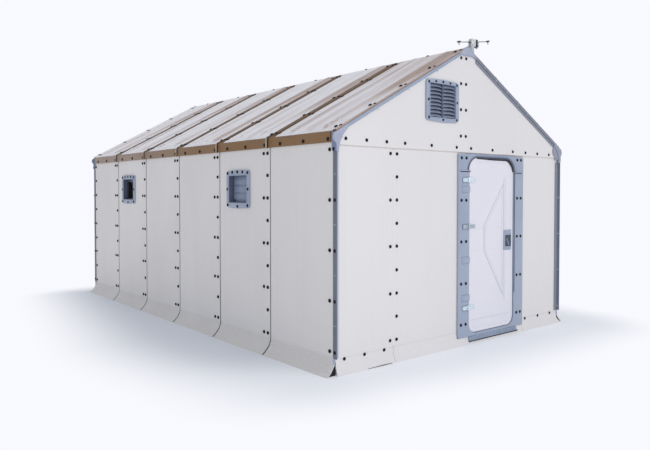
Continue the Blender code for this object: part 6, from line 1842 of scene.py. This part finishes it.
# The floor takes shadow near the walls and goes over to plain white further out, sooner behind and at
# the front left; straight in front it is a third white from the start
ground = bpy.data.materials.new("floor_white")
ground.use_nodes = True
tree = ground.node_tree
shader = tree.nodes["Principled BSDF"]
shader.inputs["Base Color"].default_value = (0.83, 0.86, 0.93, 1.0)
shader.inputs["Roughness"].default_value = 0.9
east, north, _ = split(add(tree, "TexCoord", output="Object"))
aside = above(abs(east), 1.66) + above(east, 1.66) * 0.5
beyond = above(abs(north), HALF_L) * 1.4
behind = above(north, -0.6) * 0.16
before = maths("MAXIMUM", -1.2 - north, 0.0) * 0.13 * spread(east, -1.7, -0.4, 1.0, 0.12)
far = spread(maths("SQRT", aside ** 2.0 + beyond ** 2.0) + (behind + before), 0.35, 1.6)
far = far + spread(north, -2.9, -1.6, 0.34, 0.0) * (1.0 - far)
mixed_into(tree, "Material Output", far, shader.outputs[0], add(tree, "Emission", WHITE))
mesh.materials.append(ground)
placed("floor", mesh)

scene = bpy.context.scene
world = bpy.data.worlds.new("studio")
scene.world = world
world.use_nodes = True
tree = world.node_tree
soft = tree.nodes["Background"]
soft.inputs["Color"].default_value = (0.93, 0.96, 1.0, 1.0)
soft.inputs["Strength"].default_value = 0.62
path = add(tree, "LightPath").socket.node.outputs
camera_ray, glossy, clear = (Value(path[f"Is {kind} Ray"]) for kind in ("Camera", "Glossy", "Transmission"))
direct = maths("MAXIMUM", camera_ray, maths("MAXIMUM", glossy, clear))
mixed_into(tree, "World Output", direct, soft.outputs[0], add(tree, "Background", WHITE))

lamp = bpy.data.lights.new("key", "SUN")
lamp.energy = 0.76
lamp.angle = math.radians(38)
lamp.color = (1.0, 0.985, 0.96)
key = placed("key", lamp)
key.rotation_euler = Vector((0.42, -0.8, 0.55)).to_track_quat("Z", "Y").to_euler()

lamp = bpy.data.lights.new("fill", "AREA")
lamp.energy = 25.0
lamp.size = 2.0
lamp.color = (1.0, 0.99, 0.97)
fill_light = placed("fill", lamp)
fill_light.location = (-3.2, -7.2, 0.9)
aim = Vector((-0.9, -2.76, 1.1)) - fill_light.location
fill_light.rotation_euler = aim.to_track_quat("-Z", "Y").to_euler()

# The camera that was fitted to the photograph, its focal length in pixels of a 650 px wide picture
FOCAL, PICTURE_WIDTH = 630.37, 650
YAW, PITCH, ROLL = 0.7071, -0.0245, 0.0009
camera_data = bpy.data.cameras.new("camera")
camera_data.sensor_width = 36.0
camera_data.lens = FOCAL / PICTURE_WIDTH * 36.0
camera_data.shift_x = -0.0399
camera_data.shift_y = -0.0291
camera_data.clip_end = 200.0
camera = placed("camera", camera_data)
ahead = Vector((math.sin(YAW) * math.cos(PITCH), math.cos(YAW) * math.cos(PITCH), math.sin(PITCH)))
level = ahead.cross(Vector((0, 0, 1))).normalized()
upward = level.cross(ahead)
right_axis = level * math.cos(ROLL) + upward * math.sin(ROLL)
up_axis = upward * math.cos(ROLL) - level * math.sin(ROLL)
turned = Matrix((right_axis, up_axis, -ahead)).transposed()
camera.matrix_world = Matrix.Translation((-4.7234, -6.612, 1.47)) @ turned.to_4x4()
scene.camera = camera
scene.view_settings.view_transform = "Standard"
